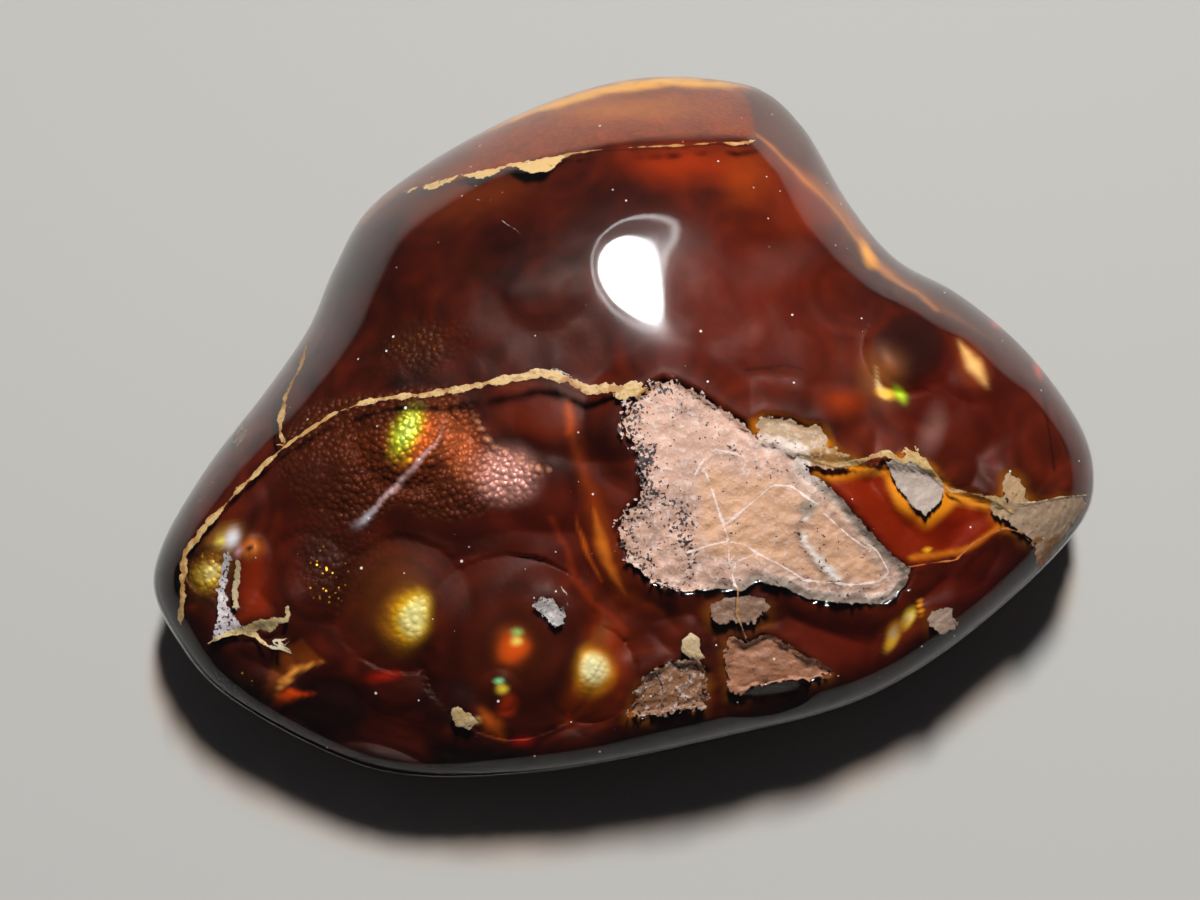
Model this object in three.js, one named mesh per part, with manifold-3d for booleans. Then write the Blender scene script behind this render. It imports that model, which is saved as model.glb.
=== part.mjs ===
// Rough fire agate: one natural chalcedony pebble, rubbed down to its fire layer, with patches of rhyolite.
// It grew as one piece, so it is one closed solid. Millimetres, +Z up, +X along its longest side.
import * as THREE from 'three'
import { mergeVertices } from 'three/addons/utils/BufferGeometryUtils.js'
import Module from 'manifold-3d'

// Sight plane: u runs right, v runs up the stone and w rises towards the eye
const SIGHT_ELEVATION = THREE.MathUtils.degToRad(60)
const EYE_DISTANCE = 141

// Outline of the stone on the sight plane, through its bends only
const OUTLINE = [
  [-14.5, 6.25], [-16.5, 3.25], [-19.75, -1], [-22, -5], [-22.3, -7], [-21, -9.75], [-19.1, -12],
  [-13.1, -15.35], [-9.7, -16.25], [-3.2, -16.15], [5.55, -14.55], [13.8, -12.2], [20.6, -7.45],
  [24.3, -3.25], [24.7, -1.5], [24.25, 0.75], [21.5, 4.75], [18, 7.75], [14.75, 9.6], [12.5, 12.25],
  [10.25, 16], [8.5, 17.75], [7, 18.35], [2, 18.6], [-3, 17.25], [-8.75, 14.25], [-11.75, 11.85],
  [-13.35, 9],
]
const OUTLINE_STEPS = 720

// Girdle: the sheet on which the outline lies, leaning back from the eye
const GIRDLE_LEAN = -0.45

// Rubbed crown above the girdle
const CROWN_HEIGHT = 9.3
const CROWN_LEAN = -0.22
const CROWN_BEND_UP = -0.00725
const CROWN_BEND_ACROSS = -0.0085
const CROWN_TILT_ACROSS = -0.015
const RIM_RISE = 13.5
const RIM_RISE_PER_V = 0.22
const RIM_BLEND = 3

// Shoulder: beyond it the crown falls away as the back bevel and, right of its corner, as the flank
const SHOULDER = [
  [-24, 6], [-14, 11.2], [-9.8, 12.95], [-4.1, 13.9], [0.3, 15], [4.35, 15.25], [7.5, 15.35], [10, 13],
  [11.4, 12.1], [12.7, 10.3], [13.5, 8.95], [16.6, 6.9], [19.5, 5.2], [26, 0],
]
const SHOULDER_SLOPE = 2.3
const SHOULDER_ROUND = 0.5

// Front facet: below this line the stone was rubbed a little steeper
const FRONT_FOLD = [[-24, -8], [-20.8, -5], [-15.8, 0], [-11, 2.6], [0, 3.6], [6, 2], [14, -0.6], [26, -2]]
const FRONT_SLOPE = 0.1
const FRONT_ROUND = 2.5

// Pavilion below the girdle, cut flat where the stone rests
const BELLY_DEPTH = 10.4
const BELLY_DEPTH_PER_V = 0.17
const BELLY_FULLNESS = 1.9
const BELLY_ROUND = 0.55
const REST_DROP = 6.6

// Rhyolite patches stand a little below the polish. Each is a ring of points on the sight plane.
const PATCHES = [
  {
    ring: [
      [1.5, 2.2], [2.2, 3.3], [4.6, 2.9], [7.1, 1.4], [7.9, 0.5], [10, -0.1], [13.1, -3.8], [15.4, -6.1],
      [13.8, -7.7], [10.6, -7.3], [7.8, -6.5], [7.1, -7], [4.2, -7], [2.3, -6.3], [0.9, -4.2], [1.9, -2.4],
      [2, -0.3],
    ],
    depth: 0.42,
  },
  { ring: [[8.2, 1.3], [9, 1.7], [11.1, 1.3], [11.5, 0.4], [10.2, -0.2], [8.4, 0.4]], depth: 0.3 },
  { ring: [[14.2, -1], [17, -1.6], [17, -2.6], [16.2, -3.3], [14.9, -2.4]], depth: 0.4 },
  { ring: [[20.3, -1.3], [21.6, -2.4], [24.2, -2.3], [23.6, -3.6], [22, -5.6], [20.9, -3.9]], depth: 0.4 },
  { ring: [[1.8, -12.6], [2, -10.9], [4.2, -10.3], [5, -11.3], [4.7, -12.7]], depth: 0.35 },
  { ring: [[6.5, -12], [6.5, -10.3], [8.6, -9.4], [11, -10.5], [11.4, -11.4], [9, -11.6]], depth: 0.4 },
]
const PATCH_LEDGE = 0.7
const PATCH_GRAIN = { length: 2.6, height: 0.09 }

// Dished places (depth above zero) and low domes (depth below zero): place, half-widths, turn, depth
const DIMPLES = {
  frontHollow: { at: [8.4, -12.35], half: [2.6, 1.2], turn: 0.12, depth: 0.5 },
  leftCrust: { at: [-18.4, -6.6], half: [1.9, 2.9], turn: -0.25, depth: 0.7 },
  leftCrustFoot: { at: [-17.2, -9.2], half: [2.3, 0.9], turn: 0.1, depth: 0.45 },
  smallChip: { at: [-2.45, -8], half: [0.9, 0.8], turn: 0, depth: 0.25 },
  shadowDome: { at: [-4.4, -9.5], half: [5, 4.6], turn: 0, depth: -0.4 },
  dropDome: { at: [-0.3, -10.9], half: [1.8, 3], turn: -0.3, depth: -0.3 },
  yellowDome: { at: [-9.4, -8.2], half: [3, 3.6], turn: 0.3, depth: -0.35 },
  rightDome: { at: [15.3, 4.8], half: [2.8, 2.6], turn: 0, depth: -0.4 },
  farRightDome: { at: [19.2, 3.2], half: [2, 2.2], turn: 0.4, depth: -0.25 },
}

// Orange band: along this crack the lower lip stands back
const CRACK = [[9.5, -0.2], [12.9, -0.6], [16.6, -1.1], [18.5, -2.2], [20.6, -3]]
const CRACK_STEP = 0.3
const CRACK_LIP = 0.3
const CRACK_REACH = 2.2
const CRACK_FADE = 1

// Hand-rubbed unevenness of the polish and the grape-like skin left below. Both die out at the girdle.
const RUBBED_SWELL = { length: 11, height: 0.12 }
const RUBBED_FADE = 2.5
const SKIN_LUMP = { length: 6.4, height: 0.42 }
const SKIN_FADE = 4

// Mesh of the solid, turned so that no row of corners follows an edge of the stone
const SPHERE_DETAIL = 21
const SPHERE_TURN = [0.31, 0.17]
const GIRDLE_POLAR = THREE.MathUtils.degToRad(107)
const WELD_REACH = 1e-4
const FLOOR_BOX = 80

const CHALCEDONY_COLOUR = 0x6b2a14

// Rises from 0 to 1 as x passes from low to high
function smoothStep(low, high, x) {
  return THREE.MathUtils.smoothstep(x, low, high)
}

// Lesser of two heights with the corner between them rounded over
function softMin(a, b, blend) {
  const near = Math.max(blend - Math.abs(a - b), 0) / blend
  return Math.min(a, b) - (near * near * blend) / 4
}

// Zero before a fold and the distance beyond it after, with the corner rounded
function beyondFold(distance, round) {
  return (distance + Math.hypot(distance, round)) / 2
}

// Height of a bent line over u
function lineAt(points, u) {
  const last = points.length - 1
  const after = points.findIndex(([x]) => x > u)
  if (after === 0) return points[0][1]
  if (after < 0) return points[last][1]
  const [x0, y0] = points[after - 1]
  const [x1, y1] = points[after]
  return y0 + ((y1 - y0) * (u - x0)) / (x1 - x0)
}

// Distance from a point to a stretch of line between two others
function stretchDistance(u, v, [au, av], [bu, bv]) {
  const along = ((u - au) * (bu - au) + (v - av) * (bv - av)) / ((bu - au) ** 2 + (bv - av) ** 2)
  const t = THREE.MathUtils.clamp(along, 0, 1)
  return Math.hypot(u - au - t * (bu - au), v - av - t * (bv - av))
}

// Distance into a ring of points, below zero outside it
function insideRing(ring, u, v) {
  let nearest = Infinity
  let inside = false
  ring.forEach(([au, av], i) => {
    const [bu, bv] = ring[(i + 1) % ring.length]
    nearest = Math.min(nearest, stretchDistance(u, v, [au, av], [bu, bv]))
    if (av > v !== bv > v && u < au + ((bu - au) * (v - av)) / (bv - av)) inside = !inside
  })
  return inside ? nearest : -nearest
}

// Uneven swell of a given length and height
function uneven({ length, height }, x, y, z) {
  const k = (2 * Math.PI) / length
  const a = Math.sin(k * (x + 0.37 * y) + 1.3) * Math.cos(k * (0.81 * y - 0.29 * z) + 0.4)
  const b = Math.sin(k * (0.93 * z + 0.41 * x) + 2.1) * Math.cos(k * (0.77 * x - 0.52 * y) + 2.9)
  return (height * (a + b)) / 2
}

// Radius of the outline around the middle of the sight plane, for each direction
function outlineRadii() {
  const points = OUTLINE.map(([u, v]) => new THREE.Vector3(u, v, 0))
  const curve = new THREE.CatmullRomCurve3(points, true, 'centripetal')
  const seen = curve.getPoints(OUTLINE_STEPS)
    .map((p) => [Math.atan2(p.y, p.x), Math.hypot(p.x, p.y)])
    .sort((a, b) => a[0] - b[0])
  const turn = 2 * Math.PI
  const first = seen[0]
  const last = seen[seen.length - 1]
  return [[last[0] - turn, last[1]], ...seen, [first[0] + turn, first[1]]]
}

const RADII = outlineRadii()

// How far the relief takes the crown down at a place on the sight plane
function reliefDepth(u, v) {
  let depth = 0
  for (const { ring, depth: full } of PATCHES) {
    const inside = smoothStep(-PATCH_LEDGE / 2, PATCH_LEDGE / 2, insideRing(ring, u, v))
    depth = Math.max(depth, inside * (full + uneven(PATCH_GRAIN, u, v, 0)))
  }
  for (const { at, half, turn, depth: full } of Object.values(DIMPLES)) {
    const du = (u - at[0]) * Math.cos(turn) + (v - at[1]) * Math.sin(turn)
    const dv = (v - at[1]) * Math.cos(turn) - (u - at[0]) * Math.sin(turn)
    depth += full * (1 - smoothStep(0, 1, Math.hypot(du / half[0], dv / half[1])))
  }
  const [start, end] = [CRACK[0][0], CRACK[CRACK.length - 1][0]]
  const below = lineAt(CRACK, u) - v
  const begun = smoothStep(start - CRACK_FADE, start + CRACK_FADE, u)
  const along = begun * (1 - smoothStep(end - CRACK_FADE, end + CRACK_FADE, u))
  const lip = smoothStep(-CRACK_LIP, CRACK_LIP, below) * (1 - smoothStep(2 * CRACK_LIP, CRACK_REACH, below))
  return depth + CRACK_STEP * along * lip
}

// Crown height over the girdle sheet at a place, where reach is 0 at the centre and 1 on the outline
function crownRise(u, v, reach) {
  let w = CROWN_HEIGHT + CROWN_LEAN * v + CROWN_BEND_UP * v * v
  w += CROWN_TILT_ACROSS * u + CROWN_BEND_ACROSS * u * u
  w -= SHOULDER_SLOPE * beyondFold(v - lineAt(SHOULDER, u), SHOULDER_ROUND)
  w -= FRONT_SLOPE * beyondFold(lineAt(FRONT_FOLD, u) - v, FRONT_ROUND)
  const rim = (RIM_RISE + RIM_RISE_PER_V * v) * Math.sqrt(Math.max(1 - reach * reach, 0))
  const rise = softMin(w - GIRDLE_LEAN * v, rim, Math.min(RIM_BLEND, 2 * rim))
  return rise + smoothStep(0, RUBBED_FADE, rise) * (uneven(RUBBED_SWELL, u, v, 0) - reliefDepth(u, v))
}

// Depth of the pavilion under the girdle sheet
function bellyDrop(u, v, reach) {
  const full = BELLY_DEPTH + BELLY_DEPTH_PER_V * v
  const drop = full * Math.pow(Math.max(1 - Math.pow(reach, BELLY_FULLNESS), 0), BELLY_ROUND)
  return drop + smoothStep(0, SKIN_FADE, drop) * uneven(SKIN_LUMP, u, v, drop)
}

// Carries a point of the unit sphere, whose z looks at the eye, to the surface of the stone
function surfacePoint(x, y, z) {
  const polar = Math.acos(THREE.MathUtils.clamp(z, -1, 1))
  const isCrown = polar <= GIRDLE_POLAR
  const half = Math.PI / 2
  const below = Math.PI - GIRDLE_POLAR
  const seenPolar = isCrown ? (polar * half) / GIRDLE_POLAR : half + ((polar - GIRDLE_POLAR) * half) / below
  const reach = Math.sin(seenPolar)
  const angle = Math.atan2(y, x)
  const radius = reach * lineAt(RADII, angle)
  const [u, v] = [radius * Math.cos(angle), radius * Math.sin(angle)]
  const w = GIRDLE_LEAN * v + (isCrown ? crownRise(u, v, reach) : -bellyDrop(u, v, reach))
  const nearer = 1 - w / EYE_DISTANCE
  const [across, up] = [u * nearer, v * nearer]
  const [rise, run] = [Math.sin(SIGHT_ELEVATION), Math.cos(SIGHT_ELEVATION)]
  return [across, up * rise - w * run, up * run + w * rise + REST_DROP]
}

// Joins equal corners, leaving only their places
function weld(geometry) {
  const bare = new THREE.BufferGeometry()
  bare.setAttribute('position', geometry.getAttribute('position'))
  if (geometry.index) bare.setIndex(geometry.index)
  return mergeVertices(bare, WELD_REACH)
}

// The whole pebble before its resting face is cut
function pebbleGeometry() {
  const sphere = new THREE.IcosahedronGeometry(1, SPHERE_DETAIL)
  const tilted = sphere.rotateX(SPHERE_TURN[0]).rotateY(SPHERE_TURN[1])
  const position = tilted.getAttribute('position')
  for (let i = 0; i < position.count; i += 1) {
    position.setXYZ(i, ...surfacePoint(position.getX(i), position.getY(i), position.getZ(i)))
  }
  return weld(tilted)
}

const wasm = await Module()
wasm.setup()

// A solid that can be cut
function toSolid(geometry) {
  const vertProperties = new Float32Array(geometry.getAttribute('position').array)
  const triVerts = new Uint32Array(geometry.index.array)
  return new wasm.Manifold(new wasm.Mesh({ numProp: 3, vertProperties, triVerts }))
}

// A geometry from a cut solid, standing with the middle of its base at the origin
function toGeometry(solid) {
  const { vertProperties, triVerts } = solid.getMesh()
  const geometry = new THREE.BufferGeometry()
  geometry.setAttribute('position', new THREE.BufferAttribute(new Float32Array(vertProperties), 3))
  geometry.setIndex(new THREE.BufferAttribute(new Uint32Array(triVerts), 1))
  geometry.computeBoundingBox()
  const middle = geometry.boundingBox.getCenter(new THREE.Vector3())
  geometry.translate(-middle.x, -middle.y, -geometry.boundingBox.min.z)
  geometry.computeVertexNormals()
  return geometry
}

const floor = weld(new THREE.BoxGeometry(FLOOR_BOX, FLOOR_BOX, FLOOR_BOX).translate(0, 0, -FLOOR_BOX / 2))
const stone = toSolid(pebbleGeometry()).subtract(toSolid(floor))

const material = new THREE.MeshStandardMaterial({ color: CHALCEDONY_COLOUR, roughness: 0.12 })
const mesh = new THREE.Mesh(toGeometry(stone), material)
mesh.name = 'fire_agate'

const part = new THREE.Group()
part.add(mesh)

export default part
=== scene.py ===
"""Looks of a rough fire agate: a polished chalcedony skin over its fire layer, with veins and rhyolite."""

import logging
import math
from dataclasses import dataclass, field
from enum import Enum

import bpy
import numpy as np
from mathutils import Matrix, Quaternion, Vector


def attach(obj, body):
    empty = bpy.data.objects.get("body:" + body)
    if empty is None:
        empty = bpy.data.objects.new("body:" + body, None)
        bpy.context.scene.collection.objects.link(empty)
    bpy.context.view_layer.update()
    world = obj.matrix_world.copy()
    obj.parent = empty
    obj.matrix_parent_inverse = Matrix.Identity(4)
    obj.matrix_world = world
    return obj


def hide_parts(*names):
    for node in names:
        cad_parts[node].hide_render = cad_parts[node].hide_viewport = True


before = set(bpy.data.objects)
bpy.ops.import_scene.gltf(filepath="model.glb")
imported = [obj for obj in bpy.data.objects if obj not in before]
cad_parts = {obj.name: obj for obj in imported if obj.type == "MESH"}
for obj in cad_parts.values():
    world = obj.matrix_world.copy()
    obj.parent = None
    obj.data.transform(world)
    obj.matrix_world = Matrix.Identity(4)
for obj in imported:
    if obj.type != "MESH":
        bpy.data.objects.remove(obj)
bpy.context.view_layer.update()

NODE = "fire_agate"
MM = 0.001
TABLE = 256
FINE_NET, QUICK_NET = 95, 60
LOG = logging.getLogger("fire_agate")

Array = np.ndarray
Point = tuple[float, float]


def linear(code: str) -> tuple[float, float, float]:
    """Turns a written colour into light values.

    Args:
        code: six hex digits after a hash sign.

    Returns:
        Red, green and blue as linear light.
    """
    parts = [int(code[i : i + 2], 16) / 255 for i in (1, 3, 5)]
    red, green, blue = ((c / 12.92) if c <= 0.04045 else ((c + 0.055) / 1.055) ** 2.4 for c in parts)
    return red, green, blue


def smooth_step(low: float | Array, high: float | Array, x: Array) -> Array:
    """Rises smoothly from 0 to 1.

    Args:
        low: where the rise starts.
        high: where it ends.
        x: the values to look up.

    Returns:
        The height of the rise at each value.
    """
    t = np.clip((x - low) / (high - low), 0, 1)
    return t * t * (3 - 2 * t)


def soft_min(a: Array, b: Array, blend: Array | float) -> Array:
    """Takes the lesser of two heights and rounds the corner between them.

    Args:
        a: one height.
        b: the other height.
        blend: size of the rounding.

    Returns:
        The rounded lesser height.
    """
    wide = 1.5 * blend
    near = np.maximum(wide - np.abs(a - b), 0) / wide
    return np.minimum(a, b) - near**3 * wide / 6


def beyond_fold(distance: Array, rounding: float) -> Array:
    """Gives zero before a fold and the distance beyond it after.

    Args:
        distance: signed distance from the fold.
        rounding: radius of the fold.

    Returns:
        The distance that counts.
    """
    return (distance + np.hypot(distance, rounding)) / 2


def bent_line(points: tuple[Point, ...], u: Array) -> Array:
    """Reads a bent line.

    Args:
        points: its bends, in order of u.
        u: where it is read.

    Returns:
        Its height at each u.
    """
    return np.interp(u, [p[0] for p in points], [p[1] for p in points])


def stretch_distance(u: Array, v: Array, a: Point, b: Point) -> tuple[Array, Array]:
    """Measures from places to a stretch of line.

    Args:
        u: places across.
        v: places up.
        a: one end of the stretch.
        b: its other end.

    Returns:
        The distances, and how far along the stretch each nearest place lies, from 0 to 1.
    """
    du, dv = b[0] - a[0], b[1] - a[1]
    along = np.clip(((u - a[0]) * du + (v - a[1]) * dv) / (du * du + dv * dv), 0, 1)
    return np.hypot(u - a[0] - along * du, v - a[1] - along * dv), along


def ring_depth(ring: tuple[Point, ...], u: Array, v: Array) -> Array:
    """Measures how far places lie inside a closed ring.

    Args:
        ring: its corners.
        u: places across.
        v: places up.

    Returns:
        Distance from the ring, below zero outside it.
    """
    nearest = np.full(u.shape, np.inf)
    inside = np.zeros(u.shape, bool)
    for a, b in zip(ring, ring[1:] + ring[:1]):
        nearest = np.minimum(nearest, stretch_distance(u, v, a, b)[0])
        if a[1] != b[1]:
            crosses = (a[1] > v) != (b[1] > v)
            inside ^= crosses & (u < a[0] + (b[0] - a[0]) * (v - a[1]) / (b[1] - a[1]))
    return np.where(inside, nearest, -nearest)


def strand_depth(line: tuple[Point, ...], halves: tuple[float, ...], u: Array, v: Array) -> Array:
    """Measures how far places lie inside a strand of changing width.

    Args:
        line: points along its middle.
        halves: half its width at each point, or one value for all.
        u: places across.
        v: places up.

    Returns:
        Distance from its edge, below zero outside it.
    """
    widths = halves * len(line) if len(halves) == 1 else halves
    depth = np.full(u.shape, -np.inf)
    for a, b, wide, next_wide in zip(line, line[1:], widths, widths[1:]):
        distance, along = stretch_distance(u, v, a, b)
        depth = np.maximum(depth, wide + (next_wide - wide) * along - distance)
    return depth


def oval_reach(u: Array, v: Array, at: Point, half: Point, turn: float) -> Array:
    """Measures from the middle of a turned oval.

    Args:
        u: places across.
        v: places up.
        at: its middle.
        half: its half-widths.
        turn: how far it is turned, in radians.

    Returns:
        The distances, where 1 lies on the oval.
    """
    cos, sin = math.cos(turn), math.sin(turn)
    du = (u - at[0]) * cos + (v - at[1]) * sin
    dv = (v - at[1]) * cos - (u - at[0]) * sin
    return np.hypot(du / half[0], dv / half[1])


def oval_cover(
    u: Array, v: Array, at: Point, half: Point, turn: float = 0.0, crisp: float = 0.0
) -> Array:
    """Covers a turned oval with a soft edge.

    Args:
        u: places across.
        v: places up.
        at: its middle.
        half: its half-widths.
        turn: how far it is turned, in degrees.
        crisp: share of it that is fully covered.

    Returns:
        How much of each place it covers, from 0 to 1.
    """
    return 1 - smooth_step(crisp, 1, oval_reach(u, v, at, half, math.radians(turn)))


def painted(colour: Array, code: str, share: Array) -> Array:
    """Covers corner colours with one colour.

    Args:
        colour: red, green and blue of every corner.
        code: the colour that covers them.
        share: how much of it shows at each corner.

    Returns:
        The covered colours.
    """
    return colour + (np.array(linear(code)) - colour) * share[:, None]


def shuffled(random: np.random.RandomState) -> Array:
    """Returns a table of shuffled numbers, written out twice."""
    return np.tile(random.permutation(TABLE), 2)


def draw_at(cell: Array, order: Array) -> Array:
    """Draws a fixed number for every cell of a grid.

    Args:
        cell: rows of whole x, y, z.
        order: a table of shuffled numbers.

    Returns:
        A whole number below the table's size for each row.
    """
    x, y, z = (cell & (TABLE - 1)).T
    return order[order[order[x] + y] + z]


@dataclass(frozen=True)
class Grain:
    """Smooth repeatable unevenness in three dimensions."""

    seed: int
    layers: int = 3
    shift: float = 7.3
    softening: float = 1.4

    def at(self, places: Array, length: float) -> Array:
        """Reads the unevenness.

        Args:
            places: rows of x, y, z.
            length: size of one lump.

        Returns:
            A value from -1 to 1 for each row.
        """
        random = np.random.RandomState(self.seed)
        order = shuffled(random)
        heights = random.uniform(-1, 1, TABLE)
        cell = np.floor(places / length).astype(int)
        part = places / length - cell
        part = part * part * (3 - 2 * part)
        total = np.zeros(len(places))
        for corner in np.ndindex(2, 2, 2):
            share = np.prod(np.where(np.array(corner) == 1, part, 1 - part), axis=1)
            total += share * heights[draw_at(cell + corner, order)]
        return total

    def rough(self, places: Array, length: float) -> Array:
        """Adds ever finer unevenness.

        Args:
            places: rows of x, y, z.
            length: size of the largest lump.

        Returns:
            A value of about -1 to 1 for each row.
        """
        parts = [self.at(places + self.shift * n, length / 2**n) / 2**n for n in range(self.layers)]
        return sum(parts) / self.softening


@dataclass(frozen=True)
class Botryoids:
    """Grape-like growths: lumps around jittered middles in three dimensions."""

    seed: int = 11
    size: float = 4.2
    jitter: float = 0.42

    def at(self, places: Array) -> tuple[Array, Array]:
        """Finds the nearest middle.

        Args:
            places: rows of x, y, z.

        Returns:
            Distance from the nearest middle over the lump size, and a fixed draw from 0 to 1 for its lump.
        """
        random = np.random.RandomState(self.seed)
        order = shuffled(random)
        draws = random.uniform(-1, 1, (TABLE, 3))
        cell = np.floor(places / self.size).astype(int)
        nearest = np.full(len(places), np.inf)
        draw = np.zeros(len(places))
        for step in np.ndindex(3, 3, 3):
            near = cell + np.array(step) - 1
            pick = draw_at(near, order)
            middle = (near + 0.5 + self.jitter * draws[pick]) * self.size
            distance = np.linalg.norm(places - middle, axis=1) / self.size
            closer = distance < nearest
            nearest = np.where(closer, distance, nearest)
            draw = np.where(closer, pick / (TABLE - 1), draw)
        return nearest, draw


@dataclass(frozen=True)
class SightPlane:
    """The plane on which the stone's marks are laid out: u right, v up the stone, w towards the eye."""

    elevation: float = math.radians(60)
    eye_distance: float = 141
    rest_drop: float = 6.6

    def to_row(self, u: Array, v: Array, w: Array) -> Array:
        """Carries places to the stone's own frame before it is centred.

        Args:
            u: places across, in millimetres.
            v: places up.
            w: heights towards the eye.

        Returns:
            Rows of x, y, z in millimetres.
        """
        nearer = 1 - w / self.eye_distance
        rise, run = math.sin(self.elevation), math.cos(self.elevation)
        y = v * nearer * rise - w * run
        z = v * nearer * run + w * rise + self.rest_drop
        return np.stack([u * nearer, y, z], axis=-1)

    def eye_direction(self) -> Vector:
        """Returns the direction from the stone to the eye."""
        return Vector((0, -math.cos(self.elevation), math.sin(self.elevation)))


@dataclass(frozen=True)
class Outline:
    """Closed smooth outline through the bends of the stone."""

    bends: tuple[Point, ...] = (
        (-14.5, 6.25), (-16.5, 3.25), (-19.75, -1), (-22, -5), (-22.3, -7), (-21, -9.75), (-19.1, -12),
        (-13.1, -15.35), (-9.7, -16.25), (-3.2, -16.15), (5.55, -14.55), (13.8, -12.2), (20.6, -7.45),
        (24.3, -3.25), (24.7, -1.5), (24.25, 0.75), (21.5, 4.75), (18, 7.75), (14.75, 9.6), (12.5, 12.25),
        (10.25, 16), (8.5, 17.75), (7, 18.35), (2, 18.6), (-3, 17.25), (-8.75, 14.25), (-11.75, 11.85),
        (-13.35, 9),
    )
    steps: int = 26

    def radius(self, angle: Array) -> Array:
        """Reads the outline around the middle of the sight plane.

        Args:
            angle: directions, in radians.

        Returns:
            How far the outline lies in each direction.
        """
        points = np.array(self.bends)
        seen = []
        for i in range(len(points)):
            before, a, b, after = (points[(i + k) % len(points)] for k in (-1, 0, 1, 2))
            knots = [math.dist(*pair) ** 0.5 for pair in ((before, a), (a, b), (b, after))]
            first = (a - before) / knots[0] - (b - before) / (knots[0] + knots[1]) + (b - a) / knots[1]
            last = (b - a) / knots[1] - (after - a) / (knots[1] + knots[2]) + (after - b) / knots[2]
            first, last = first * knots[1], last * knots[1]
            t = np.arange(self.steps)[:, None] / self.steps
            cubic = (2 * a - 2 * b + first + last) * t**3
            seen.append(cubic + (3 * b - 3 * a - 2 * first - last) * t**2 + first * t + a)
        curve = np.concatenate(seen)
        turns = np.arctan2(curve[:, 1], curve[:, 0])
        return np.interp(angle, *self._ordered(turns, np.hypot(*curve.T)), period=2 * math.pi)

    @staticmethod
    def _ordered(turns: Array, radii: Array) -> tuple[Array, Array]:
        """Returns directions and radii in order of direction."""
        order = np.argsort(turns)
        return turns[order], radii[order]


@dataclass(frozen=True)
class Net:
    """A piece's triangles and its corners: on the sight plane, and as rows that the noise reads.

    The reach of a corner is 0 at the middle and 1 on the outline.
    """

    faces: Array
    u: Array
    v: Array
    reach: Array
    crown: Array
    flat: Array


@dataclass(frozen=True)
class FineBall:
    """A ball of even triangles whose z side looks at the eye, spread so that the crown gets most of them."""

    divisions: int
    girdle_polar: float = math.radians(125)
    noise_rise: float = 8

    def build(self) -> tuple[Array, Array]:
        """Makes the ball.

        Returns:
            Its corners as unit vectors, and its triangles.
        """
        golden = (1 + math.sqrt(5)) / 2
        corners = np.array([
            (-1, golden, 0), (1, golden, 0), (-1, -golden, 0), (1, -golden, 0),
            (0, -1, golden), (0, 1, golden), (0, -1, -golden), (0, 1, -golden),
            (golden, 0, -1), (golden, 0, 1), (-golden, 0, -1), (-golden, 0, 1),
        ])
        sides = (
            (0, 11, 5), (0, 5, 1), (0, 1, 7), (0, 7, 10), (0, 10, 11), (1, 5, 9), (5, 11, 4),
            (11, 10, 2), (10, 7, 6), (7, 1, 8), (3, 9, 4), (3, 4, 2), (3, 2, 6), (3, 6, 8),
            (3, 8, 9), (4, 9, 5), (2, 4, 11), (6, 2, 10), (8, 6, 7), (9, 8, 1),
        )
        n = self.divisions
        grid = [(i, j) for i in range(n + 1) for j in range(n + 1 - i)]
        index = {place: k for k, place in enumerate(grid)}
        weights = np.array([(n - i - j, i, j) for i, j in grid]) / n
        small = []
        for i, j in grid:
            if i + j < n:
                small.append((index[i, j], index[i + 1, j], index[i, j + 1]))
            if i + j < n - 1:
                small.append((index[i + 1, j], index[i + 1, j + 1], index[i, j + 1]))
        places = np.concatenate([weights @ corners[list(side)] for side in sides])
        faces = np.concatenate([np.array(small) + k * len(grid) for k in range(len(sides))])
        _, first, owner = np.unique(np.round(places, 6), axis=0, return_index=True, return_inverse=True)
        ball = places[first] / np.linalg.norm(places[first], axis=1, keepdims=True)
        return ball, owner.reshape(-1)[faces]

    def lay_out(self, outline: Outline, inset: float = 1.0) -> Net:
        """Lays the corners of a piece out on the sight plane.

        Args:
            outline: the stone's outline.
            inset: share of the outline that the piece reaches.

        Returns:
            The piece's net.
        """
        ball, faces = self.build()
        polar = np.arccos(np.clip(ball[:, 2], -1, 1))
        crown = polar <= self.girdle_polar
        above = polar * (math.pi / 2) / self.girdle_polar
        below = math.pi / 2 * (1 + (polar - self.girdle_polar) / (math.pi - self.girdle_polar))
        reach = np.clip(np.sin(np.where(crown, above, below)), 0, 1)
        angle = np.arctan2(ball[:, 1], ball[:, 0])
        radius = reach * inset * outline.radius(angle)
        u, v = radius * np.cos(angle), radius * np.sin(angle)
        flat = np.stack([u, v, ball[:, 2] * self.noise_rise], axis=1)
        return Net(faces, u, v, reach, crown, flat)


@dataclass(frozen=True)
class Dimple:
    """A dished place, or a low dome where the depth is below zero."""

    at: Point
    half: Point
    turn: float
    depth: float

    def fall(self, u: Array, v: Array) -> Array:
        """Returns how far it takes the crown down at each place."""
        return self.depth * (1 - smooth_step(0, 1, oval_reach(u, v, self.at, self.half, self.turn)))


@dataclass(frozen=True)
class Patch:
    """A patch of rock or a flake that shows on the polish: ring, colour, depth, grain and ragged edge."""

    name: str
    ring: tuple[Point, ...]
    colour: str
    depth: float
    granular: float = 0.5
    ragged: float = 0.12
    amber: float = 0.0


@dataclass(frozen=True)
class Vein:
    """A cream seam in the polish: line, half-widths, colour, how far it stands up and the strength of its
    painted shadow.
    """

    name: str
    line: tuple[Point, ...]
    halves: tuple[float, ...]
    colour: str
    stand: float = 0.03
    gap: float = 0.5


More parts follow.
